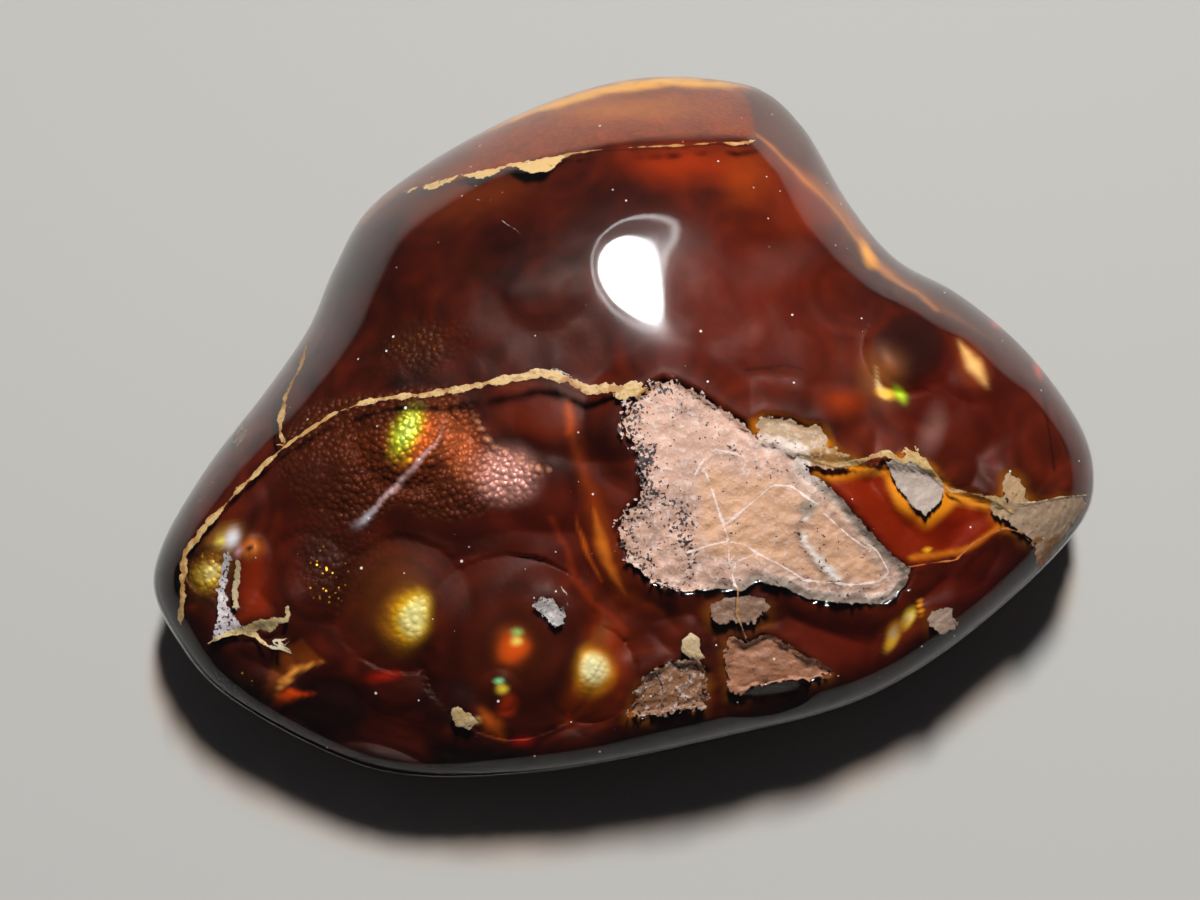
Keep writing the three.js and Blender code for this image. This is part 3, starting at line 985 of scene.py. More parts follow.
MARKS: tuple[Mark, ...] = (
    Wash("red heart", "#6E1E0A", 0.8, at=(7, 7), half=(8, 6), turn=-25),
    Wash("dark purple shelf", "#330D0A", 0.75, at=(1.5, 10.5), half=(7, 2.6)),
    Wash("brown shelf", "#44150A", 0.7, at=(-2.5, 6.2), half=(7, 2.4), turn=8),
    Wash("black upper left", "#1C0503", 0.9, at=(-12, 9), half=(3.6, 4.2), turn=-30),
    Wash("red upper left", "#3E1405", 0.7, at=(-7.2, 9.8), half=(3, 3.2)),
    Wash("rust under bevel", "#7A3610", 0.75, at=(-6, 12.1), half=(5, 1.5), turn=14),
    Wash("orange band", "#9C340A", 0.95, at=(4.6, 13.7), half=(5.6, 1.4), fire=0.2),
    Wash("orange corner", "#98400E", 0.85, at=(7.1, 13.2), half=(1.8, 2.2), fire=0.2),
    Wash("warm right shoulder", "#94381A", 0.75, at=(9.4, 12.2), half=(2.6, 3.6), turn=30),
    Wash("milky haze", "#80504A", 0.5, at=(8.5, 9), half=(3, 1.6), turn=12),
    Wash("red right field", "#5F180A", 0.8, at=(17.5, 3), half=(7, 5), turn=-25),
    Wash("dark under dome", "#2E0C0A", 0.8, at=(11.5, 1.4), half=(2.2, 1.5)),
    Wash("lower right red", "#641708", 0.9, at=(18.5, -7), half=(6, 2.6), turn=32),
    Wash("front red", "#6A1C0C", 0.8, at=(11, -10), half=(6, 3), turn=12),
    Panel(
        "pebbly field", "#5A270E", 0.9, pebble=1.0, fire=0.3, soft=0.3,
        ring=(
            (-7.6, 2.9), (-6.1, 1.9), (-5.4, 0.5), (-4.5, -0.1), (-2.6, -0.9), (-3.25, -2), (-4, -2.75),
            (-5.5, -3.1), (-7.25, -3.6), (-8.5, -3.5), (-10, -2.75), (-11, -3.5), (-12.5, -3.9),
            (-13.5, -3.25), (-15, -2.75), (-15.75, -1.5), (-15.5, 0.5), (-14.5, 1.75), (-12.5, 2.5),
            (-10, 2.9),
        ),
    ),
    Wash("left low field", "#301207", 0.75, at=(-13, -5.2), half=(3.6, 4), pebble=0.5, gold=0.2),
    Wash("centre low field", "#54160A", 0.8, at=(-2, -4), half=(6, 3), turn=-20),
    # The bevel's honey, its bright middle and its yellow top edge: the agate's own honey colour, with the
    # glow of light shining through the thin back edge painted in.
    Panel(
        "bevel honey", "#8E3C02", 1.0, pebble=0.55, fire=0.25, soft=0.2,
        ring=(
            (-14, 9.2), (-9.8, 12.6), (-4.1, 13.5), (0.3, 14.6), (4.35, 14.85), (7.4, 15), (7.3, 20), (0, 21),
            (-10, 19), (-15, 13),
        ),
    ),
    Wash("brown end of bevel", "#4E2206", 0.85, at=(-8.5, 14.2), half=(4.2, 2.2), turn=28),
    Wash("bright bevel middle", "#B46A08", 0.6, at=(1.5, 16.6), half=(6, 1.2), fire=0.3),
    Streak(
        "yellow top edge", "#E4A21C", 0.95, fire=0.2, halves=(0.1, 0.35, 0.45, 0.4, 0.35, 0.15), crisp=0.2,
        line=((-6.5, 15.2), (-3, 16.8), (0, 17.7), (3, 18.1), (6, 18), (7.6, 17.7)),
    ),
    Panel(
        "flank", "#5E2208", 0.95, soft=0.25,
        ring=(
            (7.4, 15.3), (10, 13.05), (11.4, 12.15), (12.7, 10.35), (13.5, 9), (16.6, 6.95), (19.5, 5.25),
            (26, 2), (27, 9), (14, 20), (7.6, 21),
        ),
    ),
    Wash("dark flank", "#260906", 0.9, at=(17, 9), half=(7, 3.2), turn=-42),
    Wash("umber flank", "#5A2A10", 0.5, at=(9.7, 15.6), half=(1.5, 2.6), turn=35),
    Streak(
        "amber strand", "#B4651C", 0.8, halves=(0.3, 0.7, 0.7, 0.75, 0.6, 0.4, 0.2),
        line=((7.4, 15.3), (10, 13), (11.4, 12.1), (12.7, 10.3), (13.5, 8.95), (16.6, 6.9), (19.5, 5.2)),
    ),
    Streak(
        "bright crease", "#D89040", 0.35, halves=(0.22,),
        line=((7.5, 15.2), (9.9, 12.9), (11.3, 11.9), (12.6, 10.1), (13.5, 8.8), (16.6, 6.75)),
    ),
    Wash("gold spot", "#F0A820", 1.0, fire=0.7, at=(13.1, 9.5), half=(0.55, 1.3), turn=25),
    Wash("red edge glint", "#C8240A", 0.9, fire=0.4, at=(19.6, 6), half=(0.5, 0.3), turn=-30),
    Wash("second edge glint", "#C8240A", 0.9, fire=0.4, at=(21.7, 3.8), half=(0.3, 0.7), turn=20),
    Streak(
        "thin dark arc", "#1E0804", 0.7, line=((7.15, 3.9), (8.1, 4.1), (9.2, 4.15), (10.1, 3.9)),
        halves=(0.12,),
    ),
    Wash("dark dome", "#2A0F0A", 0.9, at=(15.3, 4.9), half=(2, 2), crisp=0.5),
    # Painted highlights: the glow and the white, yellow and green flashes of this dome are the fire's own
    # colours painted at the brightness of its reflection.
    Wash("dome glow", "#A16231", 0.9, at=(14, 3.6), half=(1.8, 2.1), turn=-15, fire=0.3),
    Wash("dome orange", "#A83C0C", 0.7, at=(12.0, 2.3), half=(1.7, 1.3)),
    Streak(
        "dome white", "#FFF0B0", 1.0, fire=0.4, line=((13.8, 4.1), (13.9, 3), (14.1, 2.7)),
        halves=(0.12, 0.3, 0.4),
    ),
    Wash("dome yellow", "#FFD040", 1.0, fire=0.5, at=(14.2, 2.75), half=(0.75, 0.5)),
    Wash("dome green", "#B0E028", 1.0, fire=0.6, at=(14.85, 2.75), half=(0.5, 0.75), turn=20),
    Wash("streak halo", "#A0481C", 0.8, at=(18.3, 4.2), half=(1.1, 2), turn=28, fire=0.3),
    # Painted highlight: a cream flash of the fire, painted at the brightness of its reflection.
    Streak(
        "upper streak", "#F4C478", 1.0, fire=0.5, line=((17.8, 5.1), (18.4, 4.1), (19.1, 3.1)),
        halves=(0.3, 0.6, 0.25),
    ),
    # Painted reflection: a soft lilac sheen on the curved polish, painted into the layer's colour.
    Wash("lilac sheen", "#9A7068", 0.75, at=(16.4, 1), half=(0.9, 2), turn=-15),
    Panel(
        "orange window", "#8A2200", 1.0, fire=0.15, soft=0.3,
        ring=(
            (11, -1.2), (12.9, -0.7), (14.3, -0.3), (15.2, -0.7), (17, -1.6), (20, -2.9), (19.6, -4.1),
            (18, -5), (16.2, -5.7), (15, -6), (13.4, -4), (12.2, -2.6),
        ),
    ),
    Streak(
        "amber halo", "#FFB030", 0.85, fire=0.3, halves=(0.5, 0.7, 0.55, 0.5, 0.7, 0.5, 0.6, 0.4),
        line=(
            (10.1, -0.4), (11.7, -0.9), (13.2, -0.9), (14.3, -1.1), (15.2, -2.6), (16.5, -3.2), (17.6, -2.3),
            (20.2, -3),
        ),
    ),
    Wash("window shade", "#861A02", 0.75, at=(17.2, -3.9), half=(1.8, 1.1), turn=-15),
    Wash("window dot", "#FFC828", 1.0, fire=0.8, at=(16.35, -5.05), half=(0.26, 0.24)),
    Streak(
        "amber crack rim", "#D07818", 0.8, fire=0.3, line=((15.6, -5.5), (18, -4.9), (20.2, -3.6)),
        halves=(0.25,),
    ),
    # Painted highlights: these yellow flashes and their near-white hearts are the fire's own colours painted
    # at the brightness of its reflection.
    Wash("yellow flash", "#FFD440", 1.0, fire=0.3, crisp=0.3, at=(14.5, -9.2), half=(0.45, 1.1), turn=-25),
    Wash(
        "green yellow flash", "#FFF050", 1.0, fire=0.3, crisp=0.3, at=(15.25, -8.4), half=(0.35, 0.85),
        turn=-30,
    ),
    Wash("yellow flash heart", "#FFFFD0", 1.0, at=(14.55, -9.05), half=(0.28, 0.5), turn=-25),
    Wash("green yellow flash heart", "#FFFFC0", 1.0, at=(15.3, -8.3), half=(0.2, 0.35), turn=-30),
    Streak("small flash", "#F0A020", 1.0, fire=0.6, line=((15.9, -7.4), (15.95, -8.1)), halves=(0.16,)),
    Wash("flash surround", "#9A3A0C", 0.6, at=(15, -8.8), half=(1.8, 1.3), turn=30),
    Wash("umber dome", "#70300F", 0.8, at=(-10, 0), half=(4, 3), pebble=1.0, fire=0.2),
    # Painted reflection: pinkish-lilac reflections on the pebble crowns, over their metallic glitter.
    Wash("lilac pebble sheen", "#F0B8B0", 0.95, at=(-4.8, -1.2), half=(2.4, 2), turn=-20, pebble=1.0, fire=0.7),
    Wash("orange pebbles", "#C0683C", 0.85, at=(-7, 0.2), half=(1.9, 3.2), turn=30, pebble=0.9, fire=0.3),
    Wash("speckled field", "#50250E", 0.8, at=(-9, 5), half=(3.2, 2), turn=20, pebble=0.8, gold=0.3),
    Wash("smooth dark field", "#6A220A", 0.95, at=(-3.2, 1.9), half=(2.9, 1.7), turn=-24, crisp=0.5),
    Streak(
        "pale field edge", "#D8A080", 0.8, halves=(0.1,), pebble=0.5,
        line=((-6.1, 1.6), (-5.3, 0.3), (-4.5, -0.1), (-3.5, -0.8), (-2.6, -1)),
    ),
    # Painted highlights: the green flash, its glow, core and foot are the fire's own colours painted at the
    # brightness of its reflection.
    Wash("flash glow", "#F0742A", 0.9, at=(-9.3, 0.4), half=(1.7, 2), turn=-20, pebble=0.9, fire=0.5),
    Wash("green flash", "#B8E028", 1.0, fire=0.8, pebble=0.8, at=(-9.7, 0.8), half=(1.05, 1.9), turn=-22),
    Wash("green flash core", "#D4EC68", 1.0, fire=1.0, pebble=0.8, at=(-9.6, 1), half=(0.6, 1.2), turn=-22),
    Wash("flash foot", "#F0B020", 1.0, fire=0.8, pebble=0.8, at=(-9.6, -0.55), half=(0.4, 0.35)),
    Streak(
        "wisp", "#D8BEC4", 0.65, halves=(0.06, 0.14, 0.24, 0.22, 0.26, 0.1), crisp=0.2,
        line=((-7.5, 1.7), (-8, 0.5), (-8.9, -0.6), (-10, -1.8), (-11.2, -2.95), (-12.4, -3.6)),
    ),
    Wash("pale fan", "#B4BCD0", 0.85, at=(-11.7, -3.3), half=(1.1, 0.36), turn=32),
    Wash("dark under pebbles", "#340E07", 0.85, at=(-6.6, -4.4), half=(5, 1.3), turn=-6),
    Wash("dark left cheek", "#3A120A", 0.7, at=(-14.4, -1.6), half=(2, 2.6), turn=-40),
    Wash("olive dome", "#63320E", 0.9, at=(-10.4, -7.6), half=(3.2, 4), crisp=0.1, fire=0.2),
    # Painted highlights: the olive flash, its glow and its pale core are the fire's own colours painted at
    # the brightness of its reflection.
    Wash(
        "olive flash glow", "#D8901C", 0.9, at=(-9.7, -8.4), half=(1.7, 2.3), turn=-15, fire=0.5, pebble=0.4,
    ),
    Wash(
        "olive flash", "#F4D41C", 1.0, at=(-9.25, -8.3), half=(1.2, 1.8), turn=-12, fire=0.4, pebble=0.5,
        crisp=0.2,
    ),
    Wash(
        "olive flash core", "#FFFFA8", 1.0, at=(-9.15, -8.3), half=(0.8, 1.3), turn=-12, fire=0.15, crisp=0.4,
        pebble=0.5,
    ),
    Wash("great dome", "#4A1708", 0.95, at=(-4.4, -9.6), half=(4.2, 4.6), crisp=0.75),
    Wash("great dome middle", "#6A300F", 0.75, at=(-4.3, -9.9), half=(2.4, 2.2)),
    Wash("great dome halo", "#A8460F", 0.8, at=(-4.3, -9.9), half=(1.7, 1.6), fire=0.3),
    # Painted highlights: the glow and the green, yellow and red flashes of these two domes are the fire's own
    # colours painted at the brightness of its reflection.
    Wash("great dome glow", "#E85A12", 0.95, at=(-4.35, -9.95), half=(1.2, 1.05), fire=0.5),
    Wash("great dome green", "#98C868", 1.0, at=(-4.15, -9.2), half=(0.55, 0.36), fire=0.8),
    Wash("great dome yellow", "#FFE468", 1.0, at=(-4.2, -9.65), half=(0.5, 0.4), fire=0.9),
    Wash("second dome green", "#84D494", 1.0, at=(-5.1, -11.55), half=(0.42, 0.34), fire=0.8),
    Wash("second dome yellow", "#FFDC40", 1.0, at=(-4.95, -12), half=(0.5, 0.42), fire=0.9),
    Wash("second dome red", "#EE4A10", 0.95, at=(-4.6, -12.75), half=(0.7, 0.75), fire=0.6),
    Wash("drop shade", "#943406", 0.9, at=(0.3, -10.6), half=(1.9, 3.6), turn=-10, fire=0.2),
    Streak(
        "drop body", "#A8460C", 0.9, line=((0.1, -9.6), (-0.3, -10.9), (-1, -12.2), (-1.6, -13.2)),
        halves=(0.9, 1.7, 1.5, 0.9), fire=0.3,
    ),
    # Painted highlights: the drop's ring and its pale flash are the fire's own colours painted at the
    # brightness of its reflection.
    Wash("drop ring", "#F0C020", 0.95, at=(-0.35, -11), half=(1.4, 1.7), fire=0.4, pebble=0.35),
    Wash(
        "drop flash", "#FFFFC0", 1.0, at=(-0.3, -10.9), half=(0.95, 1.05), fire=0.15, crisp=0.3, pebble=0.35,
    ),
    Wash("drop neck", "#78461F", 0.8, at=(0, -9.3), half=(0.6, 0.9)),
    Wash("drop red dot", "#D02408", 1.0, at=(-1.5, -13), half=(0.22, 0.2), fire=0.5),
    Streak(
        "orange strand", "#A2420E", 0.75, halves=(0.5, 0.6, 0.8, 1, 0.8, 0.4), fire=0.2,
        line=((-1.55, 2.1), (-1.2, 0), (-0.5, -2.2), (0.1, -4.6), (0.95, -7), (3, -8.1)),
    ),
    Streak(
        "strand light", "#F08828", 0.8, halves=(0.2, 0.5, 0.4, 0.15), fire=0.4,
        line=((-0.4, -3), (0.1, -4.8), (0.6, -6.2), (1.1, -7.2)),
    ),
    Streak(
        "second strand light", "#D86A1C", 0.7, halves=(0.12, 0.3, 0.12), fire=0.3,
        line=((-1.2, -3.2), (-0.7, -5), (0, -6.6)),
    ),
    Streak("short strand", "#B8500F", 0.5, halves=(0.4,), fire=0.3, line=((-1.5, 2.3), (-1.5, 0.9))),
    Streak(
        "outer strand", "#8A300C", 0.7, halves=(0.3,),
        line=((-2.4, -3.4), (-1.6, -5.6), (-0.4, -7.6), (1.2, -9)),
    ),
    Wash("glassy left strip", "#120808", 0.95, at=(-21.8, -6.6), half=(0.9, 3), turn=-6),
    Wash(
        "left gold field", "#A06A1C", 0.9, at=(-19.3, -5.9), half=(1.4, 2.6), turn=-18, pebble=1.0, fire=0.4,
        gold=0.7,
    ),
    Streak(
        "left black fold", "#160805", 0.85, line=((-19.9, -7.3), (-19.3, -7.9), (-18.9, -9)),
        halves=(0.2, 0.35, 0.2),
    ),
    Wash("left red bead", "#B8480F", 0.9, at=(-20.2, -7.8), half=(0.4, 0.3), fire=0.4),
    Streak(
        "left black line", "#160805", 0.85, line=((-20.2, -5.3), (-19.4, -4.75), (-18.8, -4.85)),
        halves=(0.2,),
    ),
    # Painted highlights: the gold, pale and lilac flashes at the left end are the fire's own colours painted
    # at the brightness of its reflection.
    Wash("left gold", "#FFD838", 1.0, at=(-19.5, -6.3), half=(0.95, 1.1), turn=-30, pebble=0.9, fire=0.6),
    Wash("left gold core", "#FFF4A0", 1.0, at=(-19.4, -6.1), half=(0.6, 0.8), turn=-30, pebble=0.7, fire=0.4),
    Wash("left flash surround", "#B89040", 0.85, at=(-18.6, -4.4), half=(1.3, 0.9), turn=20, fire=0.5),
    Wash("left flash", "#D8E4F4", 1.0, at=(-18.35, -4.4), half=(0.75, 0.55), turn=25, fire=0.4),
    Wash("left flash gold", "#E8E060", 0.9, at=(-18.95, -4.4), half=(0.4, 0.3), fire=0.5),
    Wash("left flash lilac", "#C8A8C0", 0.85, at=(-17.95, -5), half=(0.55, 0.35), turn=30, fire=0.3),
    Panel(
        "red panel", "#8A2804", 0.9, soft=0.5, fire=0.15,
        ring=((-18, -5.4), (-16.7, -5.2), (-16.5, -8.2), (-17.9, -8.5)),
    ),
    Wash("bubble ring", "#C4702C", 0.95, at=(-17.3, -4.95), half=(0.95, 0.85), fire=0.3),
    Wash("bubble core", "#3A1206", 1.0, at=(-17.3, -4.95), half=(0.26, 0.26), crisp=0.3),
    Wash("low dark dome", "#140504", 0.9, at=(-13.4, -12.7), half=(2.7, 2), crisp=0.55),
    Wash("second low dark dome", "#1C0705", 0.8, at=(-7.7, -12.4), half=(1.9, 1.7), crisp=0.5),
    Panel(
        "wedge", "#84400F", 0.9, soft=0.12, fire=0.2,
        ring=(
            (-14.8, -9.4), (-13.5, -10.6), (-15, -11.1), (-15.9, -11.9), (-16.4, -12.9), (-17, -12.4),
            (-16.3, -10.8),
        ),
    ),
    Streak(
        "wedge edge", "#F0A848", 1.0, fire=0.3, halves=(0.1, 0.3, 0.25, 0.08),
        line=((-13.6, -10.55), (-14.9, -10.95), (-15.75, -11.7), (-16.3, -12.7)),
    ),
    Streak(
        "right crack", "#1C0604", 0.8, line=((21.8, 3.1), (22.05, 1.9), (22.2, 0.65), (22.5, -1)),
        halves=(0.1,),
    ),
    Streak(
        "bevel crack", "#140404", 0.8, line=((14.6, -10.5), (15.6, -10), (16.8, -9.4), (18.2, -8.6)),
        halves=(0.12,),
    ),
    # Painted highlight: an orange flash of the fire, painted at the brightness of its reflection.
    Streak(
        "orange flash", "#FF5A0C", 1.0, fire=0.4,
        line=((-17, -13.1), (-16.2, -12.6), (-15.3, -12.2), (-14.3, -12.2)), halves=(0.12, 0.4, 0.45, 0.15),
    ),
    Wash("gold arcs", "#503010", 0.7, at=(-18, -11.4), half=(1.4, 0.8), gold=1.0, pebble=0.6),
    Wash("gold cloud", "#3A1C09", 0.6, at=(-13.6, -6.4), half=(1.6, 2.1), gold=1.0, pebble=0.5),
    Wash("left red glow", "#701408", 0.8, at=(-19.3, -10.1), half=(0.6, 0.25), fire=0.3),
    Wash("low red glow", "#B82408", 0.7, at=(-10.8, -11.3), half=(1.4, 0.5), turn=10),
    Wash("ochre crumbs", "#B89454", 0.9, at=(-6, -13.5), half=(0.35, 0.3), pebble=1.0),
    Panel(
        "orange wedge", "#B4540E", 0.85, soft=0.35, fire=0.4,
        ring=((-5.9, -12.9), (-4.9, -13.5), (-4.7, -14.3), (-5.6, -14)),
    ),
    Wash("red foot", "#A81A08", 0.9, at=(-3.9, -14.4), half=(0.8, 0.5), fire=0.3),
)

# Middle, half-widths and turn of each dusty place: left of the great patch, under the orange band,
# beside the highlight, over the great patch and over the great dome.
DUSTY = (
    ((-1.75, -1.4), (0.9, 1.4), 0),
    ((1.2, 12.6), (2.2, 1.1), 0),
    ((6.1, 9.8), (0.8, 0.5), 0),
    ((4.5, 3.6), (2.4, 0.8), -25),
    ((-2, -5.5), (6, 2.5), 0),
)

DOMES = (
    Dome((-4.4, -9.8), 4.6, 0.7, 0.26),
    Dome((-9.8, -7.7), 3.4, 0.4, 0.1),
    Dome((-0.5, -11.2), 2.4, 0.45, 0.08),
    Dome((15.3, 4.9), 2.2, 0.75, 0.12),
    Dome((-9.6, 0.5), 2.6, 0.6, 0.1),
    Dome((-17.3, -4.9), 0.6, 0.25),
    Dome((18.5, 4), 1.8, 0.5, 0.1),
    Dome((-5, -12), 1.1, 0.3),
    Dome((-19.4, -6.2), 1.1, 0.3),
)


@dataclass(frozen=True)
class FireLook:
    """Colour, glitter and grain of every corner of the fire layer."""

    deep: str = "#210604"
    warm: str = "#6A2209"
    # Near-black of the painted shade on the front of the lower rim.
    skirt_shade: str = "#0C0405"
    hidden: str = "#2C130A"
    amber: str = "#D8820E"
    shadow: float = 0.66
    wander: float = 0.22
    wander_length: float = 1.7
    cloud_length: float = 5.0
    fine_length: float = 1.1
    base_pebble: float = 0.02
    growth_rings: float = 0.22
    growth_ring_turns: float = 26
    growths: Botryoids = field(default_factory=Botryoids)

    def paint(self, net: Net) -> dict[str, Array]:
        """Colours the layer.

        Args:
            net: its net.

        Returns:
            Colour, fire, pebble and gold by name.
        """
        cloud = Grain(3).rough(net.flat, self.cloud_length)
        fine = Grain(4).rough(net.flat, self.fine_length)
        distance, draw = self.growths.at(net.flat)
        shade = np.clip(0.5 + 0.45 * cloud + 0.25 * fine, 0, 1)[:, None]
        colour = np.array(linear(self.deep)) * (1 - shade) + np.array(linear(self.warm)) * shade
        rings = self.growth_rings * np.sin(distance * self.growth_ring_turns)
        rings = rings * smooth_step(0.15, 0.4, distance)
        colour = colour * (0.86 + 0.28 * draw[:, None]) * (1 + rings[:, None])
        fire, pebble, gold = np.zeros(len(draw)), np.full(len(draw), self.base_pebble), np.zeros(len(draw))
        u = net.u + self.wander * Grain(5).rough(net.flat, self.wander_length)
        v = net.v + self.wander * Grain(6).rough(net.flat, self.wander_length)
        for mark in MARKS:
            cover = mark.cover(u, v) * mark.strength
            colour = painted(colour, mark.colour, cover)
            fire += (mark.fire - fire) * cover
            pebble += (mark.pebble - pebble) * cover
            gold += (mark.gold - gold) * cover
        for patch in PATCHES:
            near = smooth_step(-0.7, 0, ring_depth(patch.ring, u, v + 0.3)) * patch.amber
            colour = painted(colour, self.amber, near * np.clip(0.7 + 0.8 * cloud + 0.4 * fine, 0, 1))
        bands = 1 + sum(dome.banding(u, v) for dome in DOMES)
        colour = colour * bands[:, None] * (1 + 0.12 * fine[:, None])
        bright = smooth_step(0.1, 0.6, colour.max(axis=1))
        colour = colour * (self.shadow + (1 - self.shadow) * bright)[:, None]
        # Painted shade: the front of the lower rim turns almost black, where the underside lies in shadow.
        skirt_shade = smooth_step(0.86, 0.99, net.reach) * smooth_step(-1, -6, net.v) * 0.9
        colour = painted(colour, self.skirt_shade, skirt_shade)
        under = np.array(linear(self.hidden)) * (0.8 + 0.4 * shade)
        colour = np.where(net.crown[:, None], colour, under)
        return {
            "tint": np.clip(colour, 0, 1),
            "fire": fire * net.crown,
            "pebble": pebble,
            "gold": gold * net.crown,
        }


class Mixing(Enum):
    """How two colours of a finish go together."""

    COVER = "MIX"
    DEEPEN = "MULTIPLY"


@dataclass(frozen=True)
class Value:
    """A number or colour that a node graph works out, on which sums can be written."""

    graph: "Graph"
    socket: bpy.types.NodeSocket

    def __add__(self, other: object) -> "Value":
        """Returns the sum."""
        return self.graph.math("ADD", self, other)

    def __sub__(self, other: object) -> "Value":
        """Returns the difference."""
        return self.graph.math("SUBTRACT", self, other)

    def __rsub__(self, other: float) -> "Value":
        """Returns a plain number less this value."""
        return self.graph.math("SUBTRACT", other, self)

    def __mul__(self, other: object) -> "Value":
        """Returns the product."""
        return self.graph.math("MULTIPLY", self, other)


class Graph:
    """A finish's node graph, with one method for each kind of node."""

    def __init__(self, name: str) -> None:
        """Starts an empty material.

        Args:
            name: the finish's name.
        """
        self.material = bpy.data.materials.new(name)
        self.material.use_nodes = True
        self.tree = self.material.node_tree
        self.tree.nodes.clear()
        self.output = self.tree.nodes.new("ShaderNodeOutputMaterial")
        self.place = self.add("ShaderNodeTexCoord").outputs["Object"]

    def add(self, kind: str, **inputs: object) -> bpy.types.Node:
        """Adds a node.

        Args:
            kind: Blender's name for it.
            inputs: sockets by name, with an underscore for a space, each a value or another socket.

        Returns:
            The node.
        """
        node = self.tree.nodes.new(kind)
        for key, value in inputs.items():
            self.join(value, node.inputs[key.replace("_", " ")])
        return node

    def join(self, value: object, socket: bpy.types.NodeSocket) -> None:
        """Feeds a socket.

        Args:
            value: a plain number or colour, or a value or socket of the graph.
            socket: the socket to feed.
        """
        source = value.socket if isinstance(value, Value) else value
        if isinstance(source, bpy.types.NodeSocket):
            self.tree.links.new(source, socket)
        else:
            socket.default_value = source

    def fill(self, node: bpy.types.Node, parts: dict[int, object], output: int = 0) -> Value:
        """Feeds a node's sockets by number.

        Args:
            node: the node.
            parts: what goes into each socket.
            output: number of the socket that is read.

        Returns:
            What the node gives.
        """
        for i, part in parts.items():
            self.join(part, node.inputs[i])
        return Value(self, node.outputs[output])

    def math(self, operation: str, a: object, b: object = 0.0) -> Value:
        """Works out a sum on two values.

        Args:
            operation: Blender's name for it.
            a: first value.
            b: second value.

        Returns:
            The outcome.
        """
        node = self.add("ShaderNodeMath")
        node.operation = operation
        return self.fill(node, {0: a, 1: b})

    def larger(self, a: object, b: object) -> Value:
        """Returns the larger of two values."""
        return self.math("MAXIMUM", a, b)

    def step(self, value: object, low: float, high: float) -> Value:
        """Rises smoothly.

        Args:
            value: what is looked up.
            low: where the rise starts.
            high: where it ends.

        Returns:
            The height of the rise, from 0 to 1.
        """
        node = self.add("ShaderNodeMapRange")
        node.interpolation_type = "SMOOTHSTEP"
        return self.fill(node, dict(enumerate((value, low, high, 0.0, 1.0))))

    def blend(self, share: object, a: object, b: object) -> Value:
        """Returns a value between a and b."""
        return self.fill(self.add("ShaderNodeMix"), {0: share, 2: a, 3: b})

    def tint(self, share: object, a: object, b: object, how: Mixing = Mixing.COVER) -> Value:
        """Mixes two colours.

        Args:
            share: how much of b shows.
            a: colour code or value.
            b: colour code or value.
            how: whether b covers a or deepens it.

        Returns:
            The mixed colour.
        """
        node = self.add("ShaderNodeMix")
        node.data_type, node.blend_type = "RGBA", how.value
        first, second = ((*linear(part), 1) if isinstance(part, str) else part for part in (a, b))
        return self.fill(node, {0: share, 6: first, 7: second}, 2)

    def noise(self, size: float, detail: float, seed: float = 0) -> Value:
        """Makes cloudy noise.

        Args:
            size: size of its lumps in millimetres.
            detail: how many finer layers it has.
            seed: shifts it, so that two noises differ.

        Returns:
            The noise, from 0 to 1.
        """
        way = (seed, seed * 0.7, seed * 1.3)
        shifted = self.fill(self.add("ShaderNodeVectorMath"), {0: self.place, 1: way})
        node = self.add("ShaderNodeTexNoise", Vector=shifted, Scale=1 / (size * MM), Detail=detail)
        return Value(self, node.outputs[0])

    def cells(self, size: float) -> tuple[Value, Value, Value]:
        """Makes a cell pattern.

        Args:
            size: size of its cells in millimetres.

        Returns:
            Distance from the nearest cell's middle, and two fixed draws from 0 to 1 for that cell.
        """
        node = self.add("ShaderNodeTexVoronoi", Vector=self.place, Scale=1 / (size * MM))
        draws = self.add("ShaderNodeSeparateColor", Color=node.outputs["Color"])
        sockets = (node.outputs["Distance"], draws.outputs[0], draws.outputs[1])
        return tuple(Value(self, socket) for socket in sockets)

    def given(self, name: str, output: str = "Fac") -> Value:
        """Returns a value or colour kept on the mesh."""
        node = self.add("ShaderNodeAttribute")
        node.attribute_name = name
        return Value(self, node.outputs[output])

    def bump(self, height: object, depth: float, strength: object) -> Value:
        """Returns a normal for fine relief of a depth in millimetres."""
        node = self.add("ShaderNodeBump", Height=height, Distance=depth * MM, Strength=strength)
        return Value(self, node.outputs[0])

    def finish(self, surface: bpy.types.Node, volume: bpy.types.Node | None = None) -> bpy.types.Material:
        """Ends the graph.

        Args:
            surface: the shader of the surface.
            volume: the shader of the inside, if it has one.

        Returns:
            The material.
        """
        self.join(surface.outputs[0], self.output.inputs["Surface"])
        if volume:
            self.join(volume.outputs[0], self.output.inputs["Volume"])
        return self.material


